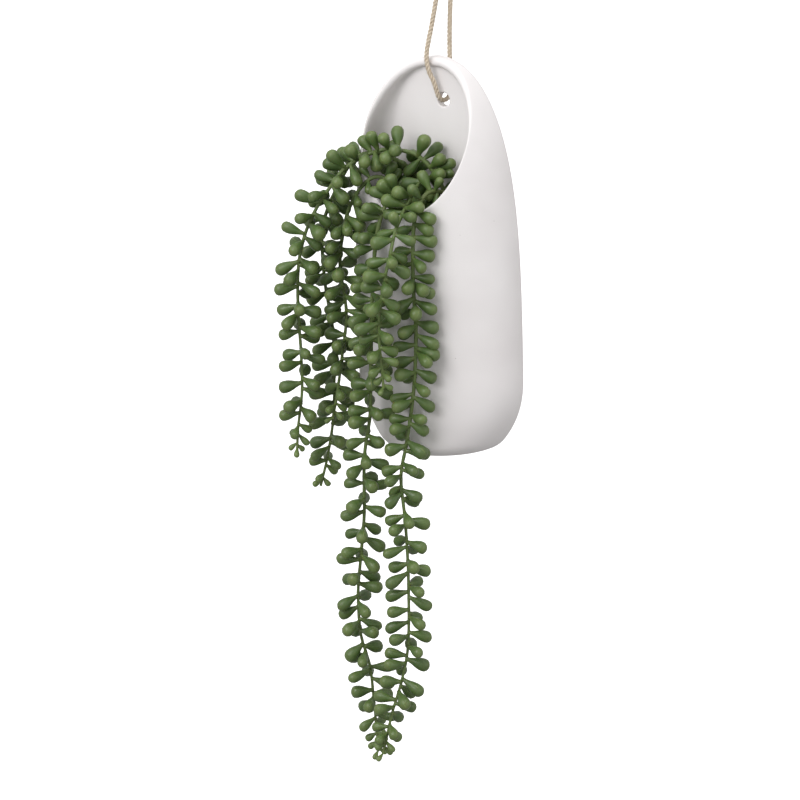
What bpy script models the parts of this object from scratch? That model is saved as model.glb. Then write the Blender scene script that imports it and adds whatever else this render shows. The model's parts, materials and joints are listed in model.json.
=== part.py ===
"""Hanging ceramic wall pot with a trailing bead-leaved succulent, carried by a jute cord.

Sizes are in metres and +Z is up. Every piece is first laid out from the middle of the pot's
base, on its flat back, with the front towards -Y. An empty then moves the whole assembly so
that the origin is at the top of the cord's eye, where a hook carries it.
"""
import math
import random

import bmesh
import bpy
from mathutils import Matrix, Quaternion, Vector

MM = 0.001

# Pot
POT_HEIGHT = 240 * MM
POT_HALF_WIDTH = 58.2 * MM
WIDEST_HEIGHT = 50 * MM
ARCH_RISE = 3.44
ARCH_ROUND = 2.18
BASE_NARROWING = 0.40
BASE_POWER = 2.4
BASE_ROUNDING = 8.5 * MM
DEPTH_AT_MIDDLE = 42.2 * MM
DEPTH_SLOPE = 3.8 * MM
DEPTH_CURVE = 1.2 * MM
WALL = 5.5 * MM
OUTER_CORNER = 3.0 * MM
INNER_CORNER = 8.0 * MM
INNER_FLOOR_ROUNDING = 10 * MM
RIM_START = 5.5 * MM
RIM_SLOPE = 0.515
RIM_CURVE = 10.4 * MM
RIM_SPREAD = 1.6 * MM
HOLE_ACROSS = 5.6 * MM
HOLE_HEIGHT = 214.2 * MM
HOLE_RADIUS = 4.3 * MM
HOLE_SIDES = 20
CUTTER_MARGIN = 5 * MM

# How finely the pot and the soil are divided
LEVELS_BELOW_LIP = 9
LEVELS_ABOVE_LIP = 13
FLAT_STEPS = 2
CORNER_STEPS = 2
ARC_STEPS = 9
LIP_STEPS = 4
SLOPE_STEP = 0.2 * MM
CORNER_SHARE_OF_WIDTH = 0.6
CORNER_SHARE_OF_REACH = 0.5

# Soil
SOIL_TOP = 130 * MM
SOIL_DOME = 3 * MM
SOIL_PEAK = 3.6 * MM
SOIL_EDGE = 6 * MM
FIT_GAP = 0.3 * MM
STEM_DEPTH = 22 * MM
STEM_HOLE_GAP = 0.6 * MM
STEM_HOLE_DEPTH = 1.5 * MM
STEM_HOLE_SIDES = 10

# Plant
VIEW_TURN = math.radians(36)
STEM_RADIUS = 1.35 * MM
STEM_TIP_RADIUS = 0.8 * MM
STEM_SIDES = 5
STEM_STEP = 9 * MM
STEM_FINE_STEP = 2 * MM
LEAF_SIDES = 5
LEAF_LENGTH = 15.0 * MM
LEAF_WIDTH = 7.7 * MM
LENGTH_RANGE = (0.86, 1.08)
WIDTH_RANGE = (0.9, 1.08)
LEAF_GAP = 3.7 * MM
GAP_SHARES = (0.5, 0.7, 0.9, 1.9)
GAP_SPREAD = 0.2
LEAVES_KEPT = (True, False, True, True, False, True, False, True, False)
BARE_FOOT = 8 * MM
TIP_LENGTH = 30 * MM
TIP_LEAF_SCALE = 0.42
TIP_GAP_SCALE = 0.5
LEAF_TURN = math.radians(137.5)
TURN_SPREAD = 0.25
SIDE_PULL = 0.42
END_ON = 0.3
LEAN_RANGE = (-4, 16)
TIP_LEAN = 38
DROOP_RANGE = (-4, 22)
CLEARANCE = 0.5 * MM
WALL_CLEARANCE = 0.9 * MM
OWN_CROWDING = 0.82
TRIED_TURNS = (0, 25, -25, 50, -50, 80, -80, 110, -110, 145, -145, 180)
TRIED_SCALES = (1.0, 0.86, 0.72)

# Outline of a leaf: share of its length from the stem's middle, share of its half width.
LEAF_OUTLINE = ((0.0, 0.22), (0.68, 1.0), (0.9, 0.76))
# Balls that stand for a leaf when its room is tested, in the same shares.
LEAF_BALLS = ((0.16, 0.42), (0.34, 0.62), (0.53, 0.84), (0.72, 1.0), (0.88, 0.84))

# Stem routes, read by eye: (across, towards the viewer, height) in millimetres, in a frame that
# is turned by VIEW_TURN, so that the plant spills towards the pot's left front.
STEM_ROUTES = {
    "strand_front": [
        (-1, 15, 110), (-1, 15, 134), (-2, 15, 152), (-6, 17, 166), (-13, 26, 168),
        (-19, 37, 162), (-24, 46, 154), (-29, 54, 144), (-32, 59, 132), (-36, 61, 116),
        (-39, 61, 98), (-40, 60, 82), (-39, 60, 66), (-38, 60, 50),
    ],
    "strand_long_right": [
        (12, 28, 110), (12, 28, 132), (9, 28, 150), (2, 30, 161), (-7, 36, 164),
        (-14, 43, 159), (-18, 48, 144), (-19, 49, 112), (-18, 48, 82), (-20, 48, 47),
        (-25, 48, 14), (-29, 48, -8), (-27, 49, -37), (-26, 50, -71), (-27, 51, -111),
        (-31, 52, -133), (-38, 53, -156), (-44, 53, -181),
    ],
    "strand_long_left": [
        (-14, 24, 110), (-14, 24, 132), (-16, 24, 150), (-21, 26, 160), (-29, 31, 162),
        (-36, 36, 153), (-41, 38, 133), (-44, 38, 97), (-46, 38, 50), (-47, 37, 27),
        (-51, 36, 1), (-52, 34, -35), (-55, 32, -64), (-57, 31, -86), (-56, 31, -111),
        (-51, 32, -131), (-49, 32, -154), (-47, 32, -186),
    ],
    "strand_left": [
        (4, 22, 110), (4, 22, 134), (3, 22, 150), (-1, 21, 165), (-7, 20, 175),
        (-14, 18, 182), (-22, 16, 185), (-34, 14, 186), (-45, 14, 183), (-53, 15, 179),
        (-60, 15, 174), (-67, 16, 165), (-74, 16, 155), (-79, 16, 146), (-84, 16, 134),
        (-88, 16, 116), (-89, 16, 89), (-88, 16, 64), (-88, 16, 39), (-91, 16, 16),
        (-92, 16, 2),
    ],
    "strand_back_left": [
        (-9, 6, 110), (-9, 6, 134), (-10, 7, 152), (-15, 8, 167), (-25, 9, 177),
        (-36, 9, 182), (-45, 9, 183), (-52, 8, 180), (-58, 4, 172), (-64, -2, 160),
        (-70, -7, 146), (-74, -9, 131), (-73, -10, 100), (-69, -10, 70), (-69, -10, 40),
        (-70, -10, 16), (-74, -10, -8), (-79, -10, -28),
    ],
    "strand_mid_left": [
        (-22, 9, 110), (-22, 9, 132), (-24, 11, 150), (-29, 15, 163), (-38, 17, 170),
        (-47, 16, 166), (-56, 14, 152), (-61, 13, 134), (-63, 12, 114), (-60, 12, 86),
        (-63, 12, 61), (-67, 12, 35), (-70, 12, 20),
    ],
}

# Cord
CORD_RADIUS = 1.5 * MM
CORD_STEP = 5 * MM
ROUTE_STEPS = 16
# Route of the cord in millimetres: from the knot down in front of the rim, through the hole,
# up behind the pot, through the knot, round the eye and back into the knot.
CORD_ROUTE = [
    (7.0, 1.6, 329.0), (7.0, 1.6, 322.0), (5.7, 0.0, 310.0), (2.8, -3.8, 284.0),
    (0.0, -7.8, 260.0), (-1.7, -10.6, 246.0), (-1.8, -11.4, 238.5), (-0.4, -11.0, 231.5),
    (2.2, -10.3, 226.0), (3.6, -9.5, 220.4), (4.2, -8.6, 217.0), (4.6, -6.2, 214.5),
    (4.7, -2.8, 213.6), (4.7, 0.7, 214.5), (4.7, 3.1, 217.0), (4.7, 4.0, 220.4),
    (4.6, 4.0, 226.0), (4.6, 3.5, 236.0), (4.7, 3.3, 248.0), (5.6, 3.5, 270.0),
    (7.4, 4.0, 300.0), (8.8, 4.3, 322.0), (8.95, 4.35, 331.0), (9.1, 4.6, 338.0),
    (11.2, 7.6, 344.0), (12.7, 9.7, 351.2), (11.5, 8.1, 357.6), (8.0, 3.0, 360.5),
    (4.5, -2.1, 357.6), (3.3, -3.7, 351.2), (4.8, -1.6, 344.0), (6.9, 1.4, 338.0),
    (7.0, 1.6, 331.5),
]
EYE_TOP = (8.0 * MM, 3.0 * MM, 359.0 * MM)
KNOT_MIDDLE = (8.0 * MM, 3.0 * MM, 330.0 * MM)
KNOT_RING_RADIUS = 5.4 * MM
KNOT_TURNS = 3
KNOT_TURN_RISE = 2.6 * MM
KNOT_TURN_TILT = math.radians(13)
KNOT_TILT_HEADINGS = (0.6, 1.9, 3.2)
KNOT_CORD_RADIUS = 1.6 * MM
KNOT_STEPS = 14
KNOT_SIDES = 6


def clear_scene():
    """Remove the objects of the scene that Blender starts with."""
    for item in list(bpy.data.objects):
        bpy.data.objects.remove(item, do_unlink=True)


def make_material(name, colour, roughness, metallic=0.0):
    """Return a Principled material."""
    material = bpy.data.materials.new(name)
    material.use_nodes = True
    shader = material.node_tree.nodes["Principled BSDF"]
    shader.inputs["Base Color"].default_value = (*colour, 1.0)
    shader.inputs["Roughness"].default_value = roughness
    shader.inputs["Metallic"].default_value = metallic
    return material


def add_object(name, mesh, material, parent):
    """Link a mesh as a named object under the hanging point, shaded smooth."""
    mesh.materials.clear()
    mesh.materials.append(material)
    item = bpy.data.objects.new(name, mesh)
    item.parent = parent
    bpy.context.scene.collection.objects.link(item)
    mesh.shade_smooth()
    mesh.set_sharp_from_angle(angle=math.radians(40))
    return item


def mesh_from(name, points, faces, merge=2e-6):
    """Return a closed mesh with its doubles merged and its faces pointing out."""
    mesh = bpy.data.meshes.new(name)
    mesh.from_pydata(points, [], faces)
    form = bmesh.new()
    form.from_mesh(mesh)
    bmesh.ops.remove_doubles(form, verts=form.verts, dist=merge)
    bmesh.ops.dissolve_degenerate(form, edges=form.edges, dist=merge)
    bmesh.ops.recalc_face_normals(form, faces=form.faces)
    form.to_mesh(mesh)
    form.free()
    return mesh


def superellipse(share, rise, roundness):
    """Return how wide an arch is at a share of its height, from 1 at its foot to 0 on top."""
    return (1 - min(max(share, 0.0), 1.0) ** rise) ** (1 / roundness)


def rounding(height, radius):
    """Return how far an edge of this radius has pulled in at a height above its foot."""
    share = min(max((radius - height) / radius, 0.0), 1.0)
    return radius * (1 - math.sqrt(1 - share * share))


def half_width(height, inset=0.0):
    """Return the pot's half width, seen from the front, at a height above its base."""
    top = POT_HEIGHT - inset
    width = POT_HALF_WIDTH - inset
    width *= superellipse((height - WIDEST_HEIGHT) / (top - WIDEST_HEIGHT), ARCH_RISE, ARCH_ROUND)
    below = min(max((WIDEST_HEIGHT - height) / WIDEST_HEIGHT, 0.0), 1.0)
    width *= 1 - BASE_NARROWING * below ** BASE_POWER
    radius = INNER_FLOOR_ROUNDING if inset else BASE_ROUNDING
    return max(width - rounding(height - inset, radius), 0.0)


def depth(height, inset=0.0):
    """Return how far the pot's front stands out from its back plane at a height."""
    share = (height - 100 * MM) / (100 * MM)
    radius = INNER_FLOOR_ROUNDING if inset else BASE_ROUNDING
    full = DEPTH_AT_MIDDLE + DEPTH_SLOPE * share + DEPTH_CURVE * share * share
    return full - inset - rounding(height - inset, radius)


def rim_depth(height):
    """Return how far in front of the back plane the slanted opening cuts the wall."""
    drop = POT_HEIGHT - height
    return RIM_START + RIM_SLOPE * drop - RIM_CURVE * (drop / (100 * MM)) ** 2


def lip_height():
    """Return the height at which the opening reaches the middle of the front."""
    low, high = 0.0, POT_HEIGHT
    for _ in range(50):
        middle = (low + high) / 2
        if rim_depth(middle) > depth(middle):
            low = middle
        else:
            high = middle
    return high


def front_arc(height, inset, rim_height):
    """Return the width, corner and depth of a level's front arc, and where the rim ends it."""
    width = half_width(height, inset)
    opened = min(rim_depth(rim_height) / depth(rim_height), 1.0)
    reach = opened * depth(height) - inset * opened + RIM_SPREAD * (1 - opened) * (inset > 0)
    corner = INNER_CORNER if inset else OUTER_CORNER
    corner = min(corner, CORNER_SHARE_OF_WIDTH * width,
                 CORNER_SHARE_OF_REACH * max(reach - inset, 0.0))
    bulge = depth(height, inset) - inset - corner
    last = math.asin(min(max((reach - inset - corner) / bulge, 0.0), 1.0))
    if rim_height <= lip_height():
        last = math.pi / 2
    return width, corner, bulge, last


def section(height, inset, rim_height):
    """Return one level of the pot's right half, from the middle of its back round to its front.

    Above the lip the level stops at the rim of the opening, taken at rim_height.
    """
    width, corner, bulge, last = front_arc(height, inset, rim_height)
    points = []
    for step in range(FLAT_STEPS + 1):
        points.append((step / FLAT_STEPS * (width - corner), -inset, height))
    for step in range(1, CORNER_STEPS + 1):
        turn = step / CORNER_STEPS * math.pi / 2
        across = width - corner + corner * math.sin(turn)
        points.append((across, -inset - corner * (1 - math.cos(turn)), height))
    for step in range(1, ARC_STEPS + 1):
        turn = step / ARC_STEPS * last
        front = -inset - corner - bulge * math.sin(turn)
        points.append((width * math.cos(turn), front, height))
    return points


def rim_facing(height, inset, rim_height):
    """Return the way that the wall's surface faces where the rim of the opening cuts it."""
    width, _, bulge, last = front_arc(height, inset, rim_height)
    rise = Vector((0, 0, 2 * SLOPE_STEP))
    rise.x = half_width(height + SLOPE_STEP, inset) - half_width(height - SLOPE_STEP, inset)
    rise.x *= math.cos(last)
    rise.y = depth(height - SLOPE_STEP, inset) - depth(height + SLOPE_STEP, inset)
    rise.y *= math.sin(last)
    round_it = Vector((-width * math.sin(last), -bulge * math.cos(last), 0))
    return round_it.cross(rise).normalized()


def level_heights(low, high):
    """Return heights below and above the lip, closer together just above it and near the ends."""
    lip = lip_height()
    lower = [low + (lip - low) * (1 - math.cos(math.pi / 2 * i / LEVELS_BELOW_LIP))
             for i in range(LEVELS_BELOW_LIP)]
    upper = [lip + (high - lip) * (0.5 - 0.5 * math.cos(math.pi * i / LEVELS_ABOVE_LIP))
             for i in range(LEVELS_ABOVE_LIP + 1)]
    return lower, upper


def add_grid(points, faces, rows):
    """Add rows of points of equal length, joined with faces."""
    start = len(points)
    size = len(rows[0])
    for row in rows:
        points.extend(row)
    for j in range(len(rows) - 1):
        for i in range(size - 1):
            corner = start + j * size + i
            faces.append((corner, corner + 1, corner + size + 1, corner + size))


def mirror_half(points, faces):
    """Return a half's points and faces with their mirror image in the middle plane."""
    shift = len(points)
    mirrored = [(-x, y, z) for x, y, z in points]
    turned = [tuple(shift + i for i in reversed(face)) for face in faces]
    return points + mirrored, faces + turned


def pot_shell():
    """Return the points and faces of the pot: outside, inside and the lip between them."""
    lower_out, upper_out = level_heights(0.0, POT_HEIGHT)
    lower_in, upper_in = level_heights(WALL, POT_HEIGHT - WALL)
    outside = [section(z, 0.0, z) for z in lower_out + upper_out]
    inside = [section(z, WALL, z) for z in lower_in]
    inside += [section(z, WALL, rim) for z, rim in zip(upper_in, upper_out)]
    points = []
    faces = []
    add_grid(points, faces, outside)
    add_grid(points, faces, inside)
    for level in (outside[0], inside[0]):
        middle = (0.0, level[-1][1] / 2, level[0][2])
        add_grid(points, faces, [[middle] * len(level), level])
    outer = [(Vector(row[-1]), rim_facing(z, 0.0, z))
             for row, z in zip(outside[LEVELS_BELOW_LIP:], upper_out)]
    inner = [(Vector(row[-1]), rim_facing(z, WALL, rim))
             for row, z, rim in zip(inside[LEVELS_BELOW_LIP:], upper_in, upper_out)]
    add_grid(points, faces, lip_rows(outer, inner))
    return mirror_half(points, faces)


def lip_rows(outer, inner):
    """Return rows of points that round the lip from the outer to the inner rim line.

    Each rim line is a list of places with the way that the wall faces there, so that the
    rounding leaves both surfaces without a step.
    """
    middles = [(a + b) / 2 for (a, _), (b, _) in zip(outer, inner)]
    rows = []
    for i, ((a, facing_a), (b, facing_b)) in enumerate(zip(outer, inner)):
        if i == 0:
            along = Vector((1, 0, 0))
        elif i == len(outer) - 1:
            along = Vector((-1, 0, 0))
        else:
            along = (middles[i + 1] - middles[i - 1]).normalized()
        reach = 2 / 3 * (a - b).length
        ways = []
        for facing in (facing_a, facing_b):
            way = facing.cross(along).normalized()
            ways.append(way if way.z > way.y else -way)
        controls = (a, a + ways[0] * reach, b + ways[1] * reach, b)
        rows.append([tuple(bend(controls, step / LIP_STEPS)) for step in range(LIP_STEPS + 1)])
    return rows


def bend(controls, share):
    """Return the point at a share of a cubic curve's length."""
    a, b, c, d = controls
    rest = 1 - share
    return (a * rest ** 3 + b * (3 * rest * rest * share) + c * (3 * rest * share * share)
            + d * share ** 3)


def cylinder(name, radius, start, end, sides):
    """Return a closed mesh of a cylinder between two points."""
    axis = Vector(end) - Vector(start)
    form = bmesh.new()
    bmesh.ops.create_cone(form, cap_ends=True, segments=sides, radius1=radius, radius2=radius,
                          depth=axis.length)
    turn = axis.to_track_quat("Z", "Y").to_matrix().to_4x4()
    place = Matrix.Translation((Vector(start) + Vector(end)) / 2) @ turn
    bmesh.ops.transform(form, matrix=place, verts=form.verts)
    mesh = bpy.data.meshes.new(name)
    form.to_mesh(mesh)
    form.free()
    return mesh


def add_cutter(name, mesh, parent):
    """Link a mesh that only cuts, hidden from the render and shown as wire."""
    item = bpy.data.objects.new(name, mesh)
    item.parent = parent
    bpy.context.scene.collection.objects.link(item)
    item.hide_render = True
    item.display_type = "WIRE"
    return item


def cut(item, cutter):
    """Take the cutter out of the item with a Boolean that stays live."""
    change = item.modifiers.new(cutter.name, "BOOLEAN")
    change.operation = "DIFFERENCE"
    change.solver = "EXACT"
    change.object = cutter


def make_pot(parent):
    """Build the ceramic pot with its hole."""
    points, faces = pot_shell()
    ceramic = make_material("matte_white_ceramic", (0.82, 0.80, 0.79), 0.62)
    pot = add_object("pot", mesh_from("pot", points, faces), ceramic, parent)
    hole = cylinder("hole_cutter", HOLE_RADIUS, (HOLE_ACROSS, CUTTER_MARGIN, HOLE_HEIGHT),
                    (HOLE_ACROSS, -WALL - CUTTER_MARGIN, HOLE_HEIGHT), HOLE_SIDES)
    cut(pot, add_cutter("hole_cutter", hole, parent))
    return pot


def soil_mesh():
    """Return the plug of soil, a little smaller than the inside of the pot all round."""
    inset = WALL + FIT_GAP
    lower, _ = level_heights(WALL, POT_HEIGHT - WALL)
    levels = [z + FIT_GAP for z in lower if z < SOIL_TOP - SOIL_EDGE] + [SOIL_TOP]
    rows = [section(z, inset, 0.0) for z in levels]
    size = len(rows[0])
    middle_y = rows[-1][-1][1] / 2
    crown = [(x * 0.5, middle_y + (y - middle_y) * 0.5, SOIL_TOP + SOIL_DOME)
             for x, y, _ in rows[-1]]
    rows.append(crown)
    rows.append([(0.0, middle_y, SOIL_TOP + SOIL_PEAK)] * size)
    rows.insert(0, [(0.0, rows[0][-1][1] / 2, levels[0])] * size)
    points = []
    faces = []
    add_grid(points, faces, rows)
    return mesh_from("soil", *mirror_half(points, faces))


def make_soil(parent, stems):
    """Build the soil and cut a plain hole in it for each stem."""
    mix = make_material("potting_mix", (0.055, 0.035, 0.024), 0.95)
    soil = add_object("soil", soil_mesh(), mix, parent)
    for name, line in stems.items():
        foot = line[0] - Vector((0, 0, STEM_HOLE_DEPTH))
        top = Vector((foot.x, foot.y, SOIL_TOP + 4 * SOIL_DOME))
        mesh = cylinder(name + "_hole", STEM_RADIUS + STEM_HOLE_GAP, foot, top, STEM_HOLE_SIDES)
        cut(soil, add_cutter(name + "_hole", mesh, parent))
    return soil


def running_lengths(line):
    """Return how long a line is up to each of its points."""
    lengths = [0.0]
    for a, b in zip(line, line[1:]):
        lengths.append(lengths[-1] + (b - a).length)
    return lengths


def smooth_line(route, step):
    """Return points a step apart on a smooth curve through the route's points."""
    knots = [Vector(p) for p in route]
    ends = [2 * knots[0] - knots[1]] + knots + [2 * knots[-1] - knots[-2]]
    fine = []
    for a, b, c, d in zip(ends, ends[1:], ends[2:], ends[3:]):
        for i in range(ROUTE_STEPS):
            t = i / ROUTE_STEPS
            fine.append(0.5 * (2 * b + (c - a) * t + (2 * a - 5 * b + 4 * c - d) * t * t
                               + (3 * b - a - 3 * c + d) * t ** 3))
    fine.append(knots[-1])
    lengths = running_lengths(fine)
    count = max(2, round(lengths[-1] / step))
    line = []
    j = 0
    for i in range(count + 1):
        target = lengths[-1] * i / count
        while j < len(fine) - 2 and lengths[j + 1] < target:
            j += 1
        span = max(lengths[j + 1] - lengths[j], 1e-9)
        line.append(fine[j].lerp(fine[j + 1], (target - lengths[j]) / span))
    return line


def stem_line(name, step):
    """Return a stem's middle line in metres, turned into the pot's frame."""
    sine, cosine = math.sin(VIEW_TURN), math.cos(VIEW_TURN)
    route = []
    for across, towards, height in STEM_ROUTES[name]:
        x = across * cosine + towards * sine
        y = across * sine - towards * cosine
        route.append((x * MM, y * MM, height * MM))
    return smooth_line(route, step)


def stem_radius(share):
    """Return a stem's radius at a share of its length."""
    return STEM_RADIUS + (STEM_TIP_RADIUS - STEM_RADIUS) * share


def tube_mesh(name, line, radii, sides):
    """Return a closed tube along a line, with a frame carried along it."""
    side = Vector((1, 0, 0))
    points = []
    faces = []
    for i, middle in enumerate(line):
        along = (line[min(i + 1, len(line) - 1)] - line[max(i - 1, 0)]).normalized()
        side = (side - along * side.dot(along)).normalized()
        other = along.cross(side)
        for k in range(sides):
            turn = 2 * math.pi * k / sides
            points.append(middle + radii[i] * (side * math.cos(turn) + other * math.sin(turn)))
    for i in range(len(line) - 1):
        for k in range(sides):
            a = i * sides + k
            b = i * sides + (k + 1) % sides
            faces.append((a, b, b + sides, a + sides))
    faces.append(tuple(reversed(range(sides))))
    faces.append(tuple(range(len(points) - sides, len(points))))
    return mesh_from(name, points, faces)


def wall_gap(point):
    """Return roughly how far a point is from the pot's ceramic."""
    z = min(max(point.z, 0.0), POT_HEIGHT)
    wide = max(half_width(z) - WALL / 2, 1 * MM)
    deep = max(depth(z) - WALL / 2, 1 * MM)
    reach = math.hypot(point.x, point.y)
    norm = max(math.hypot(point.x / wide, point.y / deep), 1e-6)
    side = abs(norm - 1) / norm * reach - WALL / 2
    if point.y > -1 * MM:
        side = max(side, point.y + 1 * MM)
    side = max(side, (-point.y - rim_depth(z)) / math.hypot(1, RIM_SLOPE))
    plate = max(abs(point.y + WALL / 2) - WALL / 2, abs(point.x) - half_width(z))
    gap = min(side, plate)
    past = max(-point.z, point.z - POT_HEIGHT, 0.0)
    return math.hypot(max(gap, 0.0), past) if past else gap


def in_pot(point):
    """Say whether a point is over the soil, within the walls."""
    z = min(max(point.z, WALL), POT_HEIGHT - WALL)
    wide = max(half_width(z), 1 * MM)
    deep = max(depth(z), 1 * MM)
    return point.y < 0 and math.hypot(point.x / wide, point.y / deep) < 1


def is_clear(balls, others, own):
    """Say whether a leaf's balls are clear of the pot, the soil, other pieces and own leaves."""
    for centre, radius in balls:
        if wall_gap(centre) < radius + WALL_CLEARANCE:
            return False
        if in_pot(centre) and centre.z < SOIL_TOP + 2 * SOIL_DOME + radius:
            return False
        for other, size in others:
            if (centre - other).length_squared < (radius + size + CLEARANCE) ** 2:
                return False
        for other, size in own:
            if (centre - other).length < OWN_CROWDING * (radius + size):
                return False
    return True


def side_way(along, last_side):
    """Return a way square to the stem that points sideways in the view.

    Where the stem points at the viewer, the last such way is carried on.
    """
    facing = Vector((math.sin(VIEW_TURN), -math.cos(VIEW_TURN), 0))
    across = along.cross(facing)
    if across.length < END_ON:
        across = last_side - along * last_side.dot(along)
    return across.normalized()


def leaf_direction(along, side, turn, lean, droop):
    """Return the way a leaf points: out from the stem, leaning along it and drooping."""
    out = Quaternion(along, turn) @ side
    way = out * math.cos(lean) + along * math.sin(lean)
    way = way + Vector((0, 0, -1)) * math.sin(droop)
    return way.normalized()


def draw_leaf(draw, grown):
    """Return a leaf's length, width, lean and droop, where grown falls from 1 to 0 at the tip."""
    size = TIP_LEAF_SCALE + (1 - TIP_LEAF_SCALE) * grown
    length = LEAF_LENGTH * size * draw.uniform(*LENGTH_RANGE)
    width = LEAF_WIDTH * size * draw.uniform(*WIDTH_RANGE)
    lean = math.radians(draw.uniform(*LEAN_RANGE) + TIP_LEAN * (1 - grown))
    droop = math.radians(draw.uniform(*DROOP_RANGE)) * grown
    return length, width, lean, droop


def find_room(base, along, side, turn, leaf, others, own):
    """Return a leaf's place and balls where it first stands clear, or None.

    The leaf is turned on round the stem, and then made smaller, until it touches nothing.
    """
    length, width, lean, droop = leaf
    for scale in TRIED_SCALES:
        for extra in TRIED_TURNS:
            way = leaf_direction(along, side, turn + math.radians(extra), lean, droop)
            balls = leaf_balls(base, way, length * scale, width * scale)
            if is_clear(balls, others, own):
                return (base, way, length * scale, width * scale), balls
    return None


def leaf_places(name, line, stems, taken):
    """Return the place, way, length and width of each leaf on a stem.

    The leaves stand in loose whorls along a spiral that is drawn towards the stem's two sides.
    One that finds no room is left out.
    """
    draw = random.Random(name)
    lengths = running_lengths(line)
    others = [ball for key, balls in taken.items() if key != name for ball in balls]
    others += [(p, STEM_RADIUS) for key, other in stems.items() if key != name for p in other]
    own = []
    places = []
    side = Vector((1, 0, 0))
    turn = draw.uniform(0, 2 * math.pi)
    here = STEM_DEPTH + BARE_FOOT
    count = 0
    j = 0
    while here < lengths[-1]:
        while lengths[j + 1] < here:
            j += 1
        base = line[j].lerp(line[j + 1], (here - lengths[j]) / (lengths[j + 1] - lengths[j]))
        along = (line[j + 1] - line[j]).normalized()
        side = side_way(along, side)
        sideways = turn - SIDE_PULL * math.sin(2 * turn) / 2
        grown = min((lengths[-1] - here) / TIP_LENGTH, 1.0)
        found = find_room(base, along, side, sideways, draw_leaf(draw, grown), others, own)
        if found:
            places.append(found[0])
            own += found[1]
        turn += LEAF_TURN + draw.uniform(-TURN_SPREAD, TURN_SPREAD)
        share = GAP_SHARES[count % len(GAP_SHARES)] * draw.uniform(1 - GAP_SPREAD, 1 + GAP_SPREAD)
        here += LEAF_GAP * (TIP_GAP_SCALE + (1 - TIP_GAP_SCALE) * grown) * share
        count += 1
    taken[name] = own
    return places


def leaf_balls(base, way, length, width):
    """Return the balls that stand for one leaf."""
    return [(base + way * (length * share), 0.5 * width * wide) for share, wide in LEAF_BALLS]


def leaf_mesh(name, base, way, length, width):
    """Return one club-shaped leaf whose root lies in the stem."""
    frame = way.to_track_quat("Z", "Y").to_matrix()
    points = []
    for share, wide in LEAF_OUTLINE:
        for k in range(LEAF_SIDES):
            turn = 2 * math.pi * k / LEAF_SIDES
            radius = 0.5 * width * wide
            ring = Vector((radius * math.cos(turn), radius * math.sin(turn), length * share))
            points.append(base + frame @ ring)
    points.append(base + way * length)
    faces = [tuple(reversed(range(LEAF_SIDES)))]
    rings = len(LEAF_OUTLINE)
    for i in range(rings - 1):
        for k in range(LEAF_SIDES):
            a = i * LEAF_SIDES + k
            b = i * LEAF_SIDES + (k + 1) % LEAF_SIDES
            faces.append((a, b, b + LEAF_SIDES, a + LEAF_SIDES))
    last = (rings - 1) * LEAF_SIDES
    for k in range(LEAF_SIDES):
        faces.append((last + k, last + (k + 1) % LEAF_SIDES, len(points) - 1))
    return mesh_from(name, points, faces)


def union_all(item, meshes):
    """Join meshes into an item with one Boolean on a collection, then drop the collection."""
    group = bpy.data.collections.new(item.name + "_pieces")
    bpy.context.scene.collection.children.link(group)
    for mesh in meshes:
        piece = bpy.data.objects.new(mesh.name, mesh)
        piece.parent = item.parent
        group.objects.link(piece)
    change = item.modifiers.new("join", "BOOLEAN")
    change.operation = "UNION"
    change.operand_type = "COLLECTION"
    change.collection = group
    change.solver = "MANIFOLD"
    bpy.context.view_layer.update()
    graph = bpy.context.evaluated_depsgraph_get()
    joined = bpy.data.meshes.new_from_object(item.evaluated_get(graph))
    item.modifiers.clear()
    for piece in list(group.objects):
        bpy.data.objects.remove(piece, do_unlink=True)
    bpy.data.collections.remove(group)
    item.data = tidy_union(joined)
    return item


def tidy_union(mesh):
    """Merge the tiny edges that a union leaves and keep only its largest closed body."""
    form = bmesh.new()
    form.from_mesh(mesh)
    bmesh.ops.remove_doubles(form, verts=form.verts, dist=0.004 * MM)
    bmesh.ops.dissolve_degenerate(form, edges=form.edges, dist=0.002 * MM)
    bmesh.ops.triangulate(form, faces=form.faces)
    keep = largest_island(form)
    scraps = [face for face in form.faces if face not in keep]
    bmesh.ops.delete(form, geom=scraps, context="FACES")
    loose = [vert for vert in form.verts if not vert.link_faces]
    bmesh.ops.delete(form, geom=loose, context="VERTS")
    form.to_mesh(mesh)
    form.free()
    mesh.shade_smooth()
    return mesh


def largest_island(form):
    """Return the faces of the largest body in a form."""
    left = set(form.faces)
    best = set()
    while left:
        island = set()
        queue = [left.pop()]
        while queue:
            face = queue.pop()
            island.add(face)
            for edge in face.edges:
                for other in edge.link_faces:
                    if other in left:
                        left.discard(other)
                        queue.append(other)
        if len(island) > len(best):
            best = island
    return best


def chosen_leaves(places):
    """Return every leaf of the pattern, and those that reach furthest along each axis."""
    ends = [base + way * length for base, way, length, _ in places]
    furthest = set()
    for axis in range(3):
        order = sorted(range(len(ends)), key=lambda i: ends[i][axis])
        furthest.update((order[0], order[-1]))
    return [place for i, place in enumerate(places)
            if LEAVES_KEPT[i % len(LEAVES_KEPT)] or i in furthest]


def make_strand(name, places, material, parent):
    """Build one leafy stem as one solid."""
    line = stem_line(name, STEM_STEP)
    radii = [stem_radius(i / (len(line) - 1)) for i in range(len(line))]
    stem = tube_mesh(name, line, radii, STEM_SIDES)
    item = add_object(name, stem, material, parent)
    leaves = [leaf_mesh(f"{name}_leaf_{i}", *place)
              for i, place in enumerate(chosen_leaves(places))]
    return union_all(item, leaves)


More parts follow.
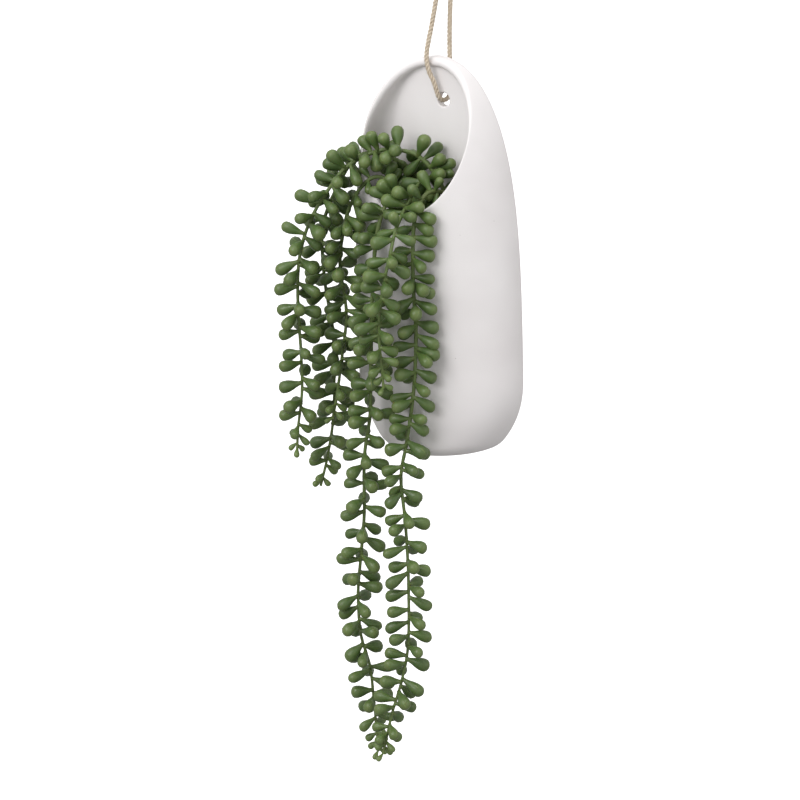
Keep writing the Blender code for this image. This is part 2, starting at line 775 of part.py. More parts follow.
def make_plant(parent):
    """Build all the leafy stems and return their middle lines."""
    leaf_green = make_material("leaf_green", (0.10, 0.20, 0.045), 0.45)
    stems = {name: stem_line(name, STEM_FINE_STEP) for name in STEM_ROUTES}
    taken = {}
    for name, line in stems.items():
        places = leaf_places(name, line, stems, taken)
        make_strand(name, places, leaf_green, parent)
    return stems


def make_cord(parent):
    """Build the jute cord as one tube."""
    jute = make_material("jute", (0.52, 0.38, 0.25), 0.85)
    line = smooth_line([Vector(p) * MM for p in CORD_ROUTE], CORD_STEP)
    curve = bpy.data.curves.new("cord", "CURVE")
    curve.dimensions = "3D"
    curve.bevel_depth = CORD_RADIUS
    curve.bevel_resolution = 2
    curve.use_fill_caps = True
    spline = curve.splines.new("POLY")
    spline.points.add(len(line) - 1)
    for point, place in zip(spline.points, line):
        point.co = (*place, 1.0)
    curve.materials.append(jute)
    cord = bpy.data.objects.new("cord", curve)
    cord.parent = parent
    bpy.context.scene.collection.objects.link(cord)
    return cord


def ring_mesh(name, place, tilt, heading, major, minor):
    """Return a closed ring of cord, tilted about a level axis."""
    turn = Quaternion((math.cos(heading), math.sin(heading), 0), tilt)
    points = []
    faces = []
    for i in range(KNOT_STEPS):
        around = 2 * math.pi * i / KNOT_STEPS
        out = Vector((math.cos(around), math.sin(around), 0))
        for k in range(KNOT_SIDES):
            angle = 2 * math.pi * k / KNOT_SIDES
            offset = out * (major + minor * math.cos(angle))
            offset += Vector((0, 0, minor * math.sin(angle)))
            points.append(Vector(place) + turn @ offset)
    for i in range(KNOT_STEPS):
        for k in range(KNOT_SIDES):
            j = (i + 1) % KNOT_STEPS
            m = (k + 1) % KNOT_SIDES
            a = i * KNOT_SIDES
            b = j * KNOT_SIDES
            faces.append((a + k, b + k, b + m, a + m))
    return mesh_from(name, points, faces)


def make_knot(parent):
    """Build the knot as turns of cord round the two strands, joined as one solid."""
    jute = make_material("jute_knot", (0.50, 0.36, 0.23), 0.85)
    rings = []
    for i in range(KNOT_TURNS):
        rise = (i - (KNOT_TURNS - 1) / 2) * KNOT_TURN_RISE
        place = Vector(KNOT_MIDDLE) + Vector((0, 0, rise))
        tilt = KNOT_TURN_TILT * (1 if i % 2 else -1)
        rings.append(ring_mesh(f"knot_turn_{i}", place, tilt, KNOT_TILT_HEADINGS[i],
                               KNOT_RING_RADIUS, KNOT_CORD_RADIUS))
    knot = add_object("cord_knot", rings[0], jute, parent)
    return union_all(knot, rings[1:])


def main():
    """Build the whole part under one hanging point."""
    clear_scene()
    hanging_point = bpy.data.objects.new("hanging_point", None)
    hanging_point.location = tuple(-value for value in EYE_TOP)
    bpy.context.scene.collection.objects.link(hanging_point)
    bpy.context.view_layer.update()
    make_pot(hanging_point)
    stems = make_plant(hanging_point)
    make_soil(hanging_point, stems)
    make_cord(hanging_point)
    make_knot(hanging_point)
    bpy.context.view_layer.update()


main()
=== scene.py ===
"""Looks of a hanging ceramic wall pot with a trailing bead-leaved succulent on a jute cord.

Every piece is first laid out as the pot itself is measured: from the middle of the pot's base,
on its flat back, with the front towards -Y and +Z up. It is then moved so that the origin is at
the top of the cord's eye, where the hook carries it. Sizes are in metres.
"""

import json
import logging
import math
import random
from dataclasses import dataclass, field
from enum import Enum
from typing import Any

import bmesh
import bpy
from mathutils import Matrix, Quaternion, Vector

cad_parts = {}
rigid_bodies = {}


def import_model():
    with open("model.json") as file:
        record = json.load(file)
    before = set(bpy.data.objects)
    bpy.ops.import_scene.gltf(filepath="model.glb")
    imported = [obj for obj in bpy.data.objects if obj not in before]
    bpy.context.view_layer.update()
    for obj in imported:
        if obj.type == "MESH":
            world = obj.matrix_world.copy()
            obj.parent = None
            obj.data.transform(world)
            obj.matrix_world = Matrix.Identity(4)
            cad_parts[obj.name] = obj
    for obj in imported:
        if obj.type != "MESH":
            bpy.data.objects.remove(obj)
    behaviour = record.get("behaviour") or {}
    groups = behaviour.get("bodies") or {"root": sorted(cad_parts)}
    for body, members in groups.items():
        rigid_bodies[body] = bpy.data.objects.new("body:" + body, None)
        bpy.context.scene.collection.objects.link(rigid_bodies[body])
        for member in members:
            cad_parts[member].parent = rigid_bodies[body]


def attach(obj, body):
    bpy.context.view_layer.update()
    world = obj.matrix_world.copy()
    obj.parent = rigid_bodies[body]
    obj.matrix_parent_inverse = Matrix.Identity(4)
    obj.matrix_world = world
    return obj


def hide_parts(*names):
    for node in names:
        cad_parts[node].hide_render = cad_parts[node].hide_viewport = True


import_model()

MM = 0.001
BODY = "root"
HANG_POINT = Vector((8.0, 3.0, 359.0)) * MM

Colour = tuple[float, float, float]
Ball = tuple[Vector, float]

log = logging.getLogger("potted_succulent")


class Slot(Enum):
    """The record's material slots."""

    POT = "pot"
    SOIL = "soil"
    PLANT = "plant"
    CORD = "cord"


class LeafShape(Enum):
    """The forms that a bead leaf takes: how far it bends and how plump it is."""

    STRAIGHT = (0.03, 1.0)
    DROOPING = (0.10, 0.96)
    LIFTED = (-0.08, 0.93)
    PLUMP = (0.05, 1.06)

    @property
    def bend(self) -> float:
        """Share of its length by which the leaf's middle line bends down."""
        return self.value[0]

    @property
    def plumpness(self) -> float:
        """Width against the width that the leaf's place asks for."""
        return self.value[1]


def socket_name(key: str) -> str:
    """Return the shader's name for an input, from a name with underscores."""
    return key.replace("_", " ").title().replace("Ior", "IOR")


class TreeSketch:
    """Lays out the nodes of one shader or geometry tree."""

    def __init__(self, tree: bpy.types.NodeTree) -> None:
        """Take the tree.

        Args:
            tree: The tree that the nodes go into.
        """
        self.tree = tree

    def add(self, kind: str, inputs: dict[str | int, Any] | None = None,
            **settings: Any) -> bpy.types.Node:
        """Add one node.

        Args:
            kind: Blender's name for the node.
            inputs: A value or an output socket for each input, by name or place.
            **settings: Properties of the node, such as its operation.

        Returns:
            The node.
        """
        node = self.tree.nodes.new(kind)
        for name, value in settings.items():
            setattr(node, name, value)
        for key, value in (inputs or {}).items():
            if isinstance(value, bpy.types.NodeSocket):
                self.tree.links.new(value, node.inputs[key])
            else:
                node.inputs[key].default_value = value
        return node

    def maths(self, operation: str, *values: Any) -> bpy.types.NodeSocket:
        """Return the result of a Math node on the values, in order."""
        node = self.add("ShaderNodeMath", dict(enumerate(values)), operation=operation)
        return node.outputs[0]

    def point(self, x: Any, y: Any, z: Any) -> bpy.types.NodeSocket:
        """Return a vector put together from three numbers or sockets."""
        return self.add("ShaderNodeCombineXYZ", {0: x, 1: y, 2: z}).outputs[0]

    def vector_maths(self, operation: str, *values: Any,
                     scale: Any = None) -> bpy.types.NodeSocket:
        """Return the vector that a Vector Math node makes.

        Args:
            operation: The node's operation.
            *values: Its vectors, in order.
            scale: The number of a SCALE operation.

        Returns:
            The node's vector output.
        """
        inputs: dict[str | int, Any] = dict(enumerate(values))
        if scale is not None:
            inputs["Scale"] = scale
        return self.add("ShaderNodeVectorMath", inputs, operation=operation).outputs[0]


class MaterialSketch(TreeSketch):
    """Lays out one procedural material around a Principled shader."""

    def __init__(self, name: str, roughness: float, **constants: float) -> None:
        """Start the material.

        Args:
            name: The material's name.
            roughness: Its roughness where nothing varies it.
            **constants: Other numbers of the shader, with underscores for spaces.
        """
        self.material = bpy.data.materials.new(name)
        self.material.use_nodes = True
        super().__init__(self.material.node_tree)
        self.shader = self.tree.nodes["Principled BSDF"]
        self.shader.inputs["Roughness"].default_value = roughness
        for key, value in constants.items():
            self.shader.inputs[socket_name(key)].default_value = value

    def place(self) -> bpy.types.NodeSocket:
        """Return the object's own coordinates, in metres."""
        return self.add("ShaderNodeTexCoord").outputs["Object"]

    def attribute(self, name: str) -> bpy.types.NodeSocket:
        """Return the number that the mesh stores under a name."""
        return self.add("ShaderNodeAttribute", attribute_name=name).outputs["Fac"]

    def noise(self, scale: float, detail: float = 3.0,
              place: bpy.types.NodeSocket | None = None,
              rough: float = 0.5) -> bpy.types.NodeSocket:
        """Return a noise between about 0.3 and 0.7.

        Args:
            scale: Waves to a metre, or to a unit of the place that is given.
            detail: Octaves of finer noise.
            place: Where to read it, if not by the object's own coordinates.
            rough: How strong the finer octaves are.

        Returns:
            The noise.
        """
        inputs = {"Vector": place or self.place(), "Scale": scale, "Detail": detail,
                  "Roughness": rough}
        return self.add("ShaderNodeTexNoise", inputs).outputs[0]

    def level(self, source: bpy.types.NodeSocket, low: float, high: float,
              to_low: float = 0.0, to_high: float = 1.0) -> bpy.types.NodeSocket:
        """Return a number stretched from one range to another and held within it."""
        inputs = {0: source, 1: low, 2: high, 3: to_low, 4: to_high}
        return self.add("ShaderNodeMapRange", inputs).outputs[0]

    def ramp(self, source: bpy.types.NodeSocket,
             stops: list[tuple[float, Colour]]) -> bpy.types.NodeSocket:
        """Return the colour that a number has on a ramp of stops."""
        node = self.add("ShaderNodeValToRGB", {0: source})
        while len(node.color_ramp.elements) < len(stops):
            node.color_ramp.elements.new(0.5)
        for element, (share, colour) in zip(node.color_ramp.elements, stops):
            element.position = share
            element.color = (*colour, 1.0)
        return node.outputs[0]

    def mix(self, share: Any, first: Any, second: Any, mode: str = "MIX") -> bpy.types.NodeSocket:
        """Return two colours mixed.

        Args:
            share: How much of the second there is.
            first: A colour or a socket.
            second: A colour or a socket.
            mode: How the second is laid on.

        Returns:
            The mixed colour.
        """
        def full(colour: Any) -> Any:
            """Give a plain colour its fourth number."""
            return (*colour, 1.0) if isinstance(colour, tuple) else colour

        node = self.add("ShaderNodeMix", {0: share, 6: full(first), 7: full(second)},
                        data_type="RGBA", blend_type=mode)
        return node.outputs[2]

    def bump(self, height: bpy.types.NodeSocket, depth: float,
             below: bpy.types.NodeSocket | None = None) -> bpy.types.NodeSocket:
        """Return the normal of a relief.

        Args:
            height: The relief, from 0 to 1.
            depth: How deep it is, in metres.
            below: The normal that it lies on.

        Returns:
            The normal.
        """
        inputs: dict[str | int, Any] = {"Height": height, "Distance": depth, "Strength": 1.0}
        if below is not None:
            inputs["Normal"] = below
        return self.add("ShaderNodeBump", inputs).outputs[0]

    def finish(self, **sockets: bpy.types.NodeSocket) -> bpy.types.Material:
        """Join what was made to the shader and return the material."""
        for key, source in sockets.items():
            self.tree.links.new(source, self.shader.inputs[socket_name(key)])
        return self.material


class GeometryRule(TreeSketch):
    """A Geometry Nodes tree with named inputs, run once on a carrier and then taken off."""

    def __init__(self, name: str) -> None:
        """Start the tree with a geometry going in and one coming out.

        Args:
            name: The tree's name.
        """
        super().__init__(bpy.data.node_groups.new(name, "GeometryNodeTree"))
        self.tree.interface.new_socket("Geometry", in_out="INPUT",
                                       socket_type="NodeSocketGeometry")
        self.tree.interface.new_socket("Geometry", in_out="OUTPUT",
                                       socket_type="NodeSocketGeometry")
        self.start = self.tree.nodes.new("NodeGroupInput")
        self.end = self.tree.nodes.new("NodeGroupOutput")

    def take(self, name: str, kind: str) -> bpy.types.NodeSocket:
        """Add a named input.

        Args:
            name: What the input is called.
            kind: Its kind, such as Float, Int, Object, Collection or Material.

        Returns:
            The socket that gives its value.
        """
        self.tree.interface.new_socket(name, in_out="INPUT", socket_type="NodeSocket" + kind)
        return self.start.outputs[name]

    def give(self, geometry: bpy.types.NodeSocket) -> None:
        """Join the geometry that comes out."""
        self.tree.links.new(geometry, self.end.inputs[0])

    def named(self, name: str, kind: str) -> bpy.types.NodeSocket:
        """Return what the geometry stores under a name."""
        node = self.add("GeometryNodeInputNamedAttribute", {0: name}, data_type=kind)
        return node.outputs[0]

    def store(self, geometry: bpy.types.NodeSocket, name: str,
              value: bpy.types.NodeSocket) -> bpy.types.NodeSocket:
        """Store a number on each point and return the geometry."""
        node = self.add("GeometryNodeStoreNamedAttribute",
                        {"Geometry": geometry, "Name": name, "Value": value},
                        data_type="FLOAT", domain="POINT")
        return node.outputs[0]

    def dressed(self, geometry: bpy.types.NodeSocket,
                material: bpy.types.NodeSocket) -> bpy.types.NodeSocket:
        """Realize what is instanced, shade it smooth and set its material."""
        real = self.add("GeometryNodeRealizeInstances", {0: geometry}).outputs[0]
        smooth = self.add("GeometryNodeSetShadeSmooth", {0: real}).outputs[0]
        return self.add("GeometryNodeSetMaterial",
                        {"Geometry": smooth, "Material": material}).outputs[0]

    def run(self, carrier: bpy.types.Object, name: str, **values: Any) -> bpy.types.Object:
        """Run the tree on a carrier and keep the result as a plain mesh.

        Args:
            carrier: The object whose geometry goes in. It is removed.
            name: The new piece's name.
            **values: The named inputs, with underscores for spaces.

        Returns:
            The new piece.
        """
        change = carrier.modifiers.new("rule", "NODES")
        change.node_group = self.tree
        for item in self.tree.interface.items_tree:
            key = item.name.lower().replace(" ", "_")
            if item.in_out == "INPUT" and key in values:
                change[item.identifier] = values[key]
        bpy.context.view_layer.update()
        graph = bpy.context.evaluated_depsgraph_get()
        mesh = bpy.data.meshes.new_from_object(carrier.evaluated_get(graph), depsgraph=graph,
                                               preserve_all_data_layers=True)
        carrier.modifiers.clear()
        bpy.data.objects.remove(carrier, do_unlink=True)
        return link_mesh(name, mesh)


def link_mesh(name: str, mesh: bpy.types.Mesh) -> bpy.types.Object:
    """Link a mesh as a named object at the origin."""
    mesh.name = name
    piece = bpy.data.objects.new(name, mesh)
    bpy.context.scene.collection.objects.link(piece)
    return piece


def mesh_from(name: str, points: list, faces: list, merge: float = 2e-6) -> bpy.types.Mesh:
    """Return a closed mesh with its doubles merged and its faces pointing out.

    Args:
        name: The mesh's name.
        points: Its corners.
        faces: Its faces, by corner.
        merge: How close two corners are that become one.

    Returns:
        The mesh.
    """
    mesh = bpy.data.meshes.new(name)
    mesh.from_pydata(points, [], faces)
    form = bmesh.new()
    form.from_mesh(mesh)
    bmesh.ops.remove_doubles(form, verts=form.verts, dist=merge)
    bmesh.ops.dissolve_degenerate(form, edges=form.edges, dist=merge)
    bmesh.ops.recalc_face_normals(form, faces=form.faces)
    form.to_mesh(mesh)
    form.free()
    return mesh


def line_object(name: str, line: list[Vector], closed: bool = False) -> bpy.types.Object:
    """Return a curve object that runs straight from point to point."""
    curve = bpy.data.curves.new(name, "CURVE")
    curve.dimensions = "3D"
    spline = curve.splines.new("POLY")
    spline.points.add(len(line) - 1)
    for point, place in zip(spline.points, line):
        point.co = (*place, 1.0)
    spline.use_cyclic_u = closed
    item = bpy.data.objects.new(name, curve)
    bpy.context.scene.collection.objects.link(item)
    return item


def smooth_line(route: list, step: float) -> list[Vector]:
    """Return points a step apart on a smooth curve through the route's points.

    Args:
        route: The points to pass through.
        step: The wanted distance between the points that come back.

    Returns:
        The points, both ends included.
    """
    knots = [Vector(p) for p in route]
    ends = [2 * knots[0] - knots[1]] + knots + [2 * knots[-1] - knots[-2]]
    fine = []
    for a, b, c, d in zip(ends, ends[1:], ends[2:], ends[3:]):
        for i in range(16):
            t = i / 16
            fine.append(0.5 * (2 * b + (c - a) * t + (2 * a - 5 * b + 4 * c - d) * t * t
                               + (3 * b - a - 3 * c + d) * t ** 3))
    fine.append(knots[-1])
    lengths = [0.0]
    for a, b in zip(fine, fine[1:]):
        lengths.append(lengths[-1] + (b - a).length)
    count = max(2, round(lengths[-1] / step))
    line = []
    j = 0
    for i in range(count + 1):
        target = lengths[-1] * i / count
        while j < len(fine) - 2 and lengths[j + 1] < target:
            j += 1
        span = max(lengths[j + 1] - lengths[j], 1e-9)
        line.append(fine[j].lerp(fine[j + 1], (target - lengths[j]) / span))
    return line


def stand_for(piece: bpy.types.Object, slot: Slot, *nodes: str) -> bpy.types.Object:
    """Move a laid-out piece under the hook, let it ride, and let it stand for CAD nodes.

    Args:
        piece: The piece, laid out from the pot's base.
        slot: Not used.
        *nodes: The CAD nodes that it stands for.

    Returns:
        The piece.
    """
    piece.data.transform(Matrix.Translation(-HANG_POINT))
    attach(piece, BODY)
    if nodes:
        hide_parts(*nodes)
    log.info("%s: %d corners, %d faces", piece.name, len(piece.data.vertices),
             len(piece.data.polygons))
    return piece


@dataclass(frozen=True)
class MatteCeramic:
    """Bisque-like white ceramic: a warm white with cast marks, fine grit and a few specks."""

    pale: Colour = (0.80, 0.775, 0.775)
    shade: Colour = (0.745, 0.715, 0.715)
    speck: Colour = (0.16, 0.13, 0.12)
    roughness: float = 0.58

    def material(self) -> bpy.types.Material:
        """Return the finish as a material."""
        sketch = MaterialSketch("matte_white_ceramic", self.roughness, specular_ior_level=0.35)
        cloud = sketch.noise(16.0, 3.0)
        colour = sketch.mix(sketch.level(cloud, 0.38, 0.64), self.pale, self.shade)
        grit = sketch.noise(1400.0, 2.0)
        colour = sketch.mix(sketch.level(grit, 0.55, 0.75, 0.0, 0.22), colour, self.shade)
        cells = sketch.add("ShaderNodeTexVoronoi", {"Vector": sketch.place(), "Scale": 210.0})
        chosen = sketch.maths("GREATER_THAN", sketch.add(
            "ShaderNodeSeparateColor", {0: cells.outputs["Color"]}).outputs[0], 0.965)
        dot = sketch.maths("LESS_THAN", cells.outputs["Distance"], 0.055)
        speck = sketch.maths("MULTIPLY", sketch.maths("MULTIPLY", chosen, dot), 0.55)
        colour = sketch.mix(speck, colour, self.speck)
        waves = sketch.bump(sketch.noise(42.0, 1.0), 0.35 * MM)
        normal = sketch.bump(grit, 0.035 * MM, waves)
        rough = sketch.level(sketch.noise(90.0, 4.0), 0.3, 0.7, self.roughness - 0.06,
                             self.roughness + 0.07)
        return sketch.finish(base_color=colour, normal=normal, roughness=rough)


@dataclass(frozen=True)
class LeafSkin:
    """Waxy skin of a bead leaf: paler neck and tip, mottling, painted shade on some leaves, and a
    faint seam on two sides whose pale colour is a painted rim light.
    """

    neck: Colour = (0.115, 0.165, 0.045)
    body: Colour = (0.066, 0.125, 0.028)
    ripe: Colour = (0.085, 0.135, 0.036)
    tip: Colour = (0.125, 0.175, 0.050)
    # deep: a painted shade, the dark green that some leaves are drawn towards, standing in for the
    # shade on leaves at the back of the strands
    deep: Colour = (0.030, 0.066, 0.018)
    young: Colour = (0.150, 0.215, 0.060)
    # seam colour: a pale yellow-green painted along the upper and lower sides of each leaf as a
    # rim light
    seam_rim_light: Colour = (0.26, 0.31, 0.10)
    roughness: float = 0.40

    def material(self) -> bpy.types.Material:
        """Return the finish as a material that reads the leaf's own map, its youth and the pick
        that sets each leaf's painted shade.
        """
        sketch = MaterialSketch("bead_leaf_skin", self.roughness, specular_ior_level=0.5,
                                subsurface_weight=0.06, subsurface_scale=0.002)
        spread = sketch.add("ShaderNodeUVMap", uv_map="leaf_map").outputs[0]
        parts = sketch.add("ShaderNodeSeparateXYZ", {0: spread})
        along = parts.outputs[1]
        colour = sketch.ramp(along, [(0.06, self.neck), (0.34, self.body), (0.80, self.ripe),
                                     (0.99, self.tip)])
        # Painted shade: leaves whose random pick is under 0.45 are darkened towards the deep green
        # by up to 45 %, standing in for the shade on leaves at the back of the strands.
        tint = sketch.attribute("tint")
        colour = sketch.mix(sketch.level(tint, 0.0, 0.45, 0.45, 0.0), colour, self.deep)
        mottle = sketch.level(sketch.noise(330.0, 3.0), 0.35, 0.68, 0.0, 0.35)
        colour = sketch.mix(mottle, colour, self.neck)
        colour = sketch.mix(sketch.attribute("youth"), colour, self.young)
        # A seam on the upper and lower sides of each leaf, with a small ridge; its pale
        # yellow-green colour is a painted rim light along the leaf's edges.
        wave = sketch.maths("ABSOLUTE", sketch.maths(
            "SINE", sketch.maths("MULTIPLY", parts.outputs[0], 2 * math.pi)))
        line = sketch.level(wave, 0.0, 0.11, 1.0, 0.0)
        patch = sketch.level(sketch.noise(95.0, 2.0), 0.45, 0.6, 0.0, 0.6)
        line = sketch.maths("MULTIPLY", line, sketch.level(along, 0.25, 0.6))
        colour = sketch.mix(sketch.maths("MULTIPLY", line, patch), colour, self.seam_rim_light)
        grain = sketch.bump(sketch.noise(900.0, 2.0), 0.05 * MM)
        normal = sketch.bump(line, 0.06 * MM, grain)
        rough = sketch.level(sketch.noise(240.0, 2.0), 0.35, 0.65, self.roughness - 0.05,
                             self.roughness + 0.10)
        return sketch.finish(base_color=colour, normal=normal, roughness=rough)


@dataclass(frozen=True)
class StemSkin:
    """Skin of a trailing stem: olive green, browner near the soil, with fine lengthwise lines."""

    old: Colour = (0.105, 0.105, 0.040)
    green: Colour = (0.110, 0.165, 0.048)
    young: Colour = (0.155, 0.215, 0.065)
    roughness: float = 0.50

    def material(self) -> bpy.types.Material:
        """Return the finish as a material."""
        sketch = MaterialSketch("trailing_stem_skin", self.roughness, specular_ior_level=0.4)
        share = sketch.attribute("share")
        colour = sketch.ramp(share, [(0.05, self.old), (0.22, self.green), (0.85, self.green),
                                     (1.0, self.young)])
        mottle = sketch.level(sketch.noise(420.0, 3.0), 0.4, 0.7, 0.0, 0.4)
        colour = sketch.mix(mottle, colour, self.old)
        turn = sketch.maths("MULTIPLY", sketch.attribute("around"), 2 * math.pi)
        along = sketch.maths("MULTIPLY", sketch.attribute("along"), 160.0)
        place = sketch.point(sketch.maths("COSINE", turn), sketch.maths("SINE", turn), along)
        lines = sketch.noise(2.6, 2.0, place)
        return sketch.finish(base_color=colour, normal=sketch.bump(lines, 0.12 * MM))


@dataclass(frozen=True)
class JuteFibre:
    """Twisted jute: pale straw fibres with darker ones among them, dull and dry."""

    straw: Colour = (0.56, 0.47, 0.36)
    pale: Colour = (0.70, 0.62, 0.50)
    dark: Colour = (0.33, 0.24, 0.16)
    roughness: float = 0.92

    def material(self) -> bpy.types.Material:
        """Return the finish as a material that follows each ply."""
        sketch = MaterialSketch("jute_fibre", self.roughness, specular_ior_level=0.2,
                                sheen_weight=0.25, sheen_roughness=0.5)
        turn = sketch.maths("MULTIPLY", sketch.attribute("around"), 2 * math.pi)
        along = sketch.maths("MULTIPLY", sketch.attribute("along"), 150.0)
        ply = sketch.maths("MULTIPLY", sketch.attribute("ply"), 7.3)
        place = sketch.point(sketch.maths("ADD", sketch.maths("COSINE", turn), ply),
                             sketch.maths("SINE", turn), along)
        fibres = sketch.noise(3.4, 3.0, place, 0.65)
        colour = sketch.ramp(fibres, [(0.34, self.dark), (0.47, self.straw), (0.62, self.pale)])
        patches = sketch.level(sketch.noise(160.0, 2.0), 0.4, 0.7, 0.0, 0.45)
        colour = sketch.mix(patches, colour, self.straw)
        return sketch.finish(base_color=colour, normal=sketch.bump(fibres, 0.16 * MM))


@dataclass(frozen=True)
class PottingMix:
    """Potting mix: dark peat with paler fibres, or the white grains of perlite among it."""

    name: str = "peat"
    dark: Colour = (0.022, 0.014, 0.010)
    pale: Colour = (0.085, 0.055, 0.036)
    roughness: float = 0.95

    def material(self) -> bpy.types.Material:
        """Return the finish as a material."""
        sketch = MaterialSketch(self.name, self.roughness, specular_ior_level=0.15)
        clods = sketch.noise(320.0, 5.0, rough=0.65)
        colour = sketch.ramp(clods, [(0.36, self.dark), (0.60, self.pale)])
        fine = sketch.noise(1500.0, 3.0)
        colour = sketch.mix(sketch.level(fine, 0.45, 0.75, 0.0, 0.5), colour, self.pale)
        normal = sketch.bump(fine, 0.15 * MM, sketch.bump(clods, 0.6 * MM))
        return sketch.finish(base_color=colour, normal=normal)


@dataclass
class WallPot:
    """The ceramic pot: a flat back plate, a bulging front and a slanted, round-lipped opening."""

    height: float = 240 * MM
    half_breadth: float = 58.2 * MM
    widest_height: float = 50 * MM
    arch_rise: float = 3.44
    arch_round: float = 2.18
    base_narrowing: float = 0.40
    base_power: float = 2.4
    base_rounding: float = 8.5 * MM
    depth_at_middle: float = 42.2 * MM
    depth_slope: float = 3.8 * MM
    depth_curve: float = 1.2 * MM
    wall: float = 5.5 * MM
    outer_corner: float = 3.0 * MM
    inner_corner: float = 8.0 * MM
    inner_floor_rounding: float = 10 * MM
    rim_start: float = 5.5 * MM
    rim_slope: float = 0.515
    rim_curve: float = 10.4 * MM
    rim_spread: float = 1.6 * MM
    slope_step: float = 0.2 * MM
    hole_across: float = 5.6 * MM
    hole_height: float = 214.2 * MM
    hole_radius: float = 4.3 * MM
    hole_bevel: float = 0.9 * MM
    rows_below: int = 34
    rows_above: int = 64
    flat_steps: int = 10
    corner_steps: int = 7
    arc_steps: int = 40
    lip_steps: int = 12
    finish: MatteCeramic = field(default_factory=MatteCeramic)

    @staticmethod
    def arch(share: float, rise: float, roundness: float) -> float:
        """Return how wide an arch is at a share of its height, from 1 at its foot to 0 on top."""
        return (1 - min(max(share, 0.0), 1.0) ** rise) ** (1 / roundness)

    @staticmethod
    def rounding(height: float, radius: float) -> float:
        """Return how far a rounded edge has pulled in at a height above its foot."""
        share = min(max((radius - height) / radius, 0.0), 1.0)
        return radius * (1 - math.sqrt(1 - share * share))

    def half_width(self, height: float, inset: float = 0.0) -> float:
        """Return the half width seen from the front, outside or at an inset.

        Args:
            height: Height above the base.
            inset: How far inside the outer surface.

        Returns:
            The half width.
        """
        top = self.height - inset
        width = self.half_breadth - inset
        width *= self.arch((height - self.widest_height) / (top - self.widest_height),
                           self.arch_rise, self.arch_round)
        below = min(max((self.widest_height - height) / self.widest_height, 0.0), 1.0)
        width *= 1 - self.base_narrowing * below ** self.base_power
        radius = self.inner_floor_rounding if inset else self.base_rounding
        return max(width - self.rounding(height - inset, radius), 0.0)

    def depth(self, height: float, inset: float = 0.0) -> float:
        """Return how far the front stands out from the back plane at a height.

        Args:
            height: Height above the base.
            inset: How far inside the outer surface.

        Returns:
            The depth.
        """
        share = (height - 100 * MM) / (100 * MM)
        radius = self.inner_floor_rounding if inset else self.base_rounding
        full = self.depth_at_middle + self.depth_slope * share + self.depth_curve * share * share
        return full - inset - self.rounding(height - inset, radius)

    def rim_depth(self, height: float) -> float:
        """Return how far in front of the back plane the opening cuts the wall."""
        drop = self.height - height
        return self.rim_start + self.rim_slope * drop - self.rim_curve * (drop / (100 * MM)) ** 2

    def lip_height(self) -> float:
        """Return the height at which the opening reaches the middle of the front."""
        low, high = 0.0, self.height
        for _ in range(50):
            middle = (low + high) / 2
            if self.rim_depth(middle) > self.depth(middle):
                low = middle
            else:
                high = middle
        return high

    def front_arc(self, height: float, inset: float,
                  rim_height: float) -> tuple[float, float, float, float]:
        """Return the width, corner and depth of a level's front arc, and where the rim ends it.

        Args:
            height: Height of the level.
            inset: How far inside the outer surface it is.
            rim_height: The height at which the opening is taken.

        Returns:
            The half width, the back corner's radius, the arc's depth and its last angle.
        """
        width = self.half_width(height, inset)
        opened = min(self.rim_depth(rim_height) / self.depth(rim_height), 1.0)
        reach = (opened * self.depth(height) - inset * opened
                 + self.rim_spread * (1 - opened) * (inset > 0))
        corner = self.inner_corner if inset else self.outer_corner
        corner = min(corner, 0.6 * width, 0.5 * max(reach - inset, 0.0))
        bulge = self.depth(height, inset) - inset - corner
        last = math.asin(min(max((reach - inset - corner) / bulge, 0.0), 1.0))
        if rim_height <= self.lip_height():
            last = math.pi / 2
        return width, corner, bulge, last

    def section(self, height: float, inset: float, rim_height: float) -> list[tuple]:
        """Return one level of the right half, from the middle of the back round to the front.

        Args:
            height: Height of the level.
            inset: How far inside the outer surface it is.
            rim_height: The height at which the opening is taken.

        Returns:
            The level's points.
        """
        width, corner, bulge, last = self.front_arc(height, inset, rim_height)
        points = []
        for step in range(self.flat_steps + 1):
            points.append((step / self.flat_steps * (width - corner), -inset, height))
        for step in range(1, self.corner_steps + 1):
            turn = step / self.corner_steps * math.pi / 2
            across = width - corner + corner * math.sin(turn)
            points.append((across, -inset - corner * (1 - math.cos(turn)), height))
        for step in range(1, self.arc_steps + 1):
            turn = step / self.arc_steps * last
            front = -inset - corner - bulge * math.sin(turn)
            points.append((width * math.cos(turn), front, height))
        return points

    def rim_facing(self, height: float, inset: float, rim_height: float) -> Vector:
        """Return the way that the wall's surface faces where the rim of the opening cuts it.

        Args:
            height: Height of the level.
            inset: How far inside the outer surface it is.
            rim_height: The height at which the opening is taken.

        Returns:
            The facing, in or out.
        """
        width, _, bulge, last = self.front_arc(height, inset, rim_height)
        above, below = height + self.slope_step, height - self.slope_step
        rise = Vector(((self.half_width(above, inset) - self.half_width(below, inset))
                       * math.cos(last),
                       (self.depth(below, inset) - self.depth(above, inset)) * math.sin(last),
                       2 * self.slope_step))
        around = Vector((-width * math.sin(last), -bulge * math.cos(last), 0))
        return around.cross(rise).normalized()

    def levels(self, low: float, high: float) -> tuple[list[float], list[float]]:
        """Return heights below and above the lip, closer together near the lip and the top."""
        lip = self.lip_height()
        lower = [low + (lip - low) * (1 - math.cos(math.pi * 0.5 * i / self.rows_below))
                 for i in range(self.rows_below)]
        upper = [lip + (high - lip) * (0.5 - 0.5 * math.cos(math.pi * i / self.rows_above))
                 for i in range(self.rows_above + 1)]
        return lower, upper

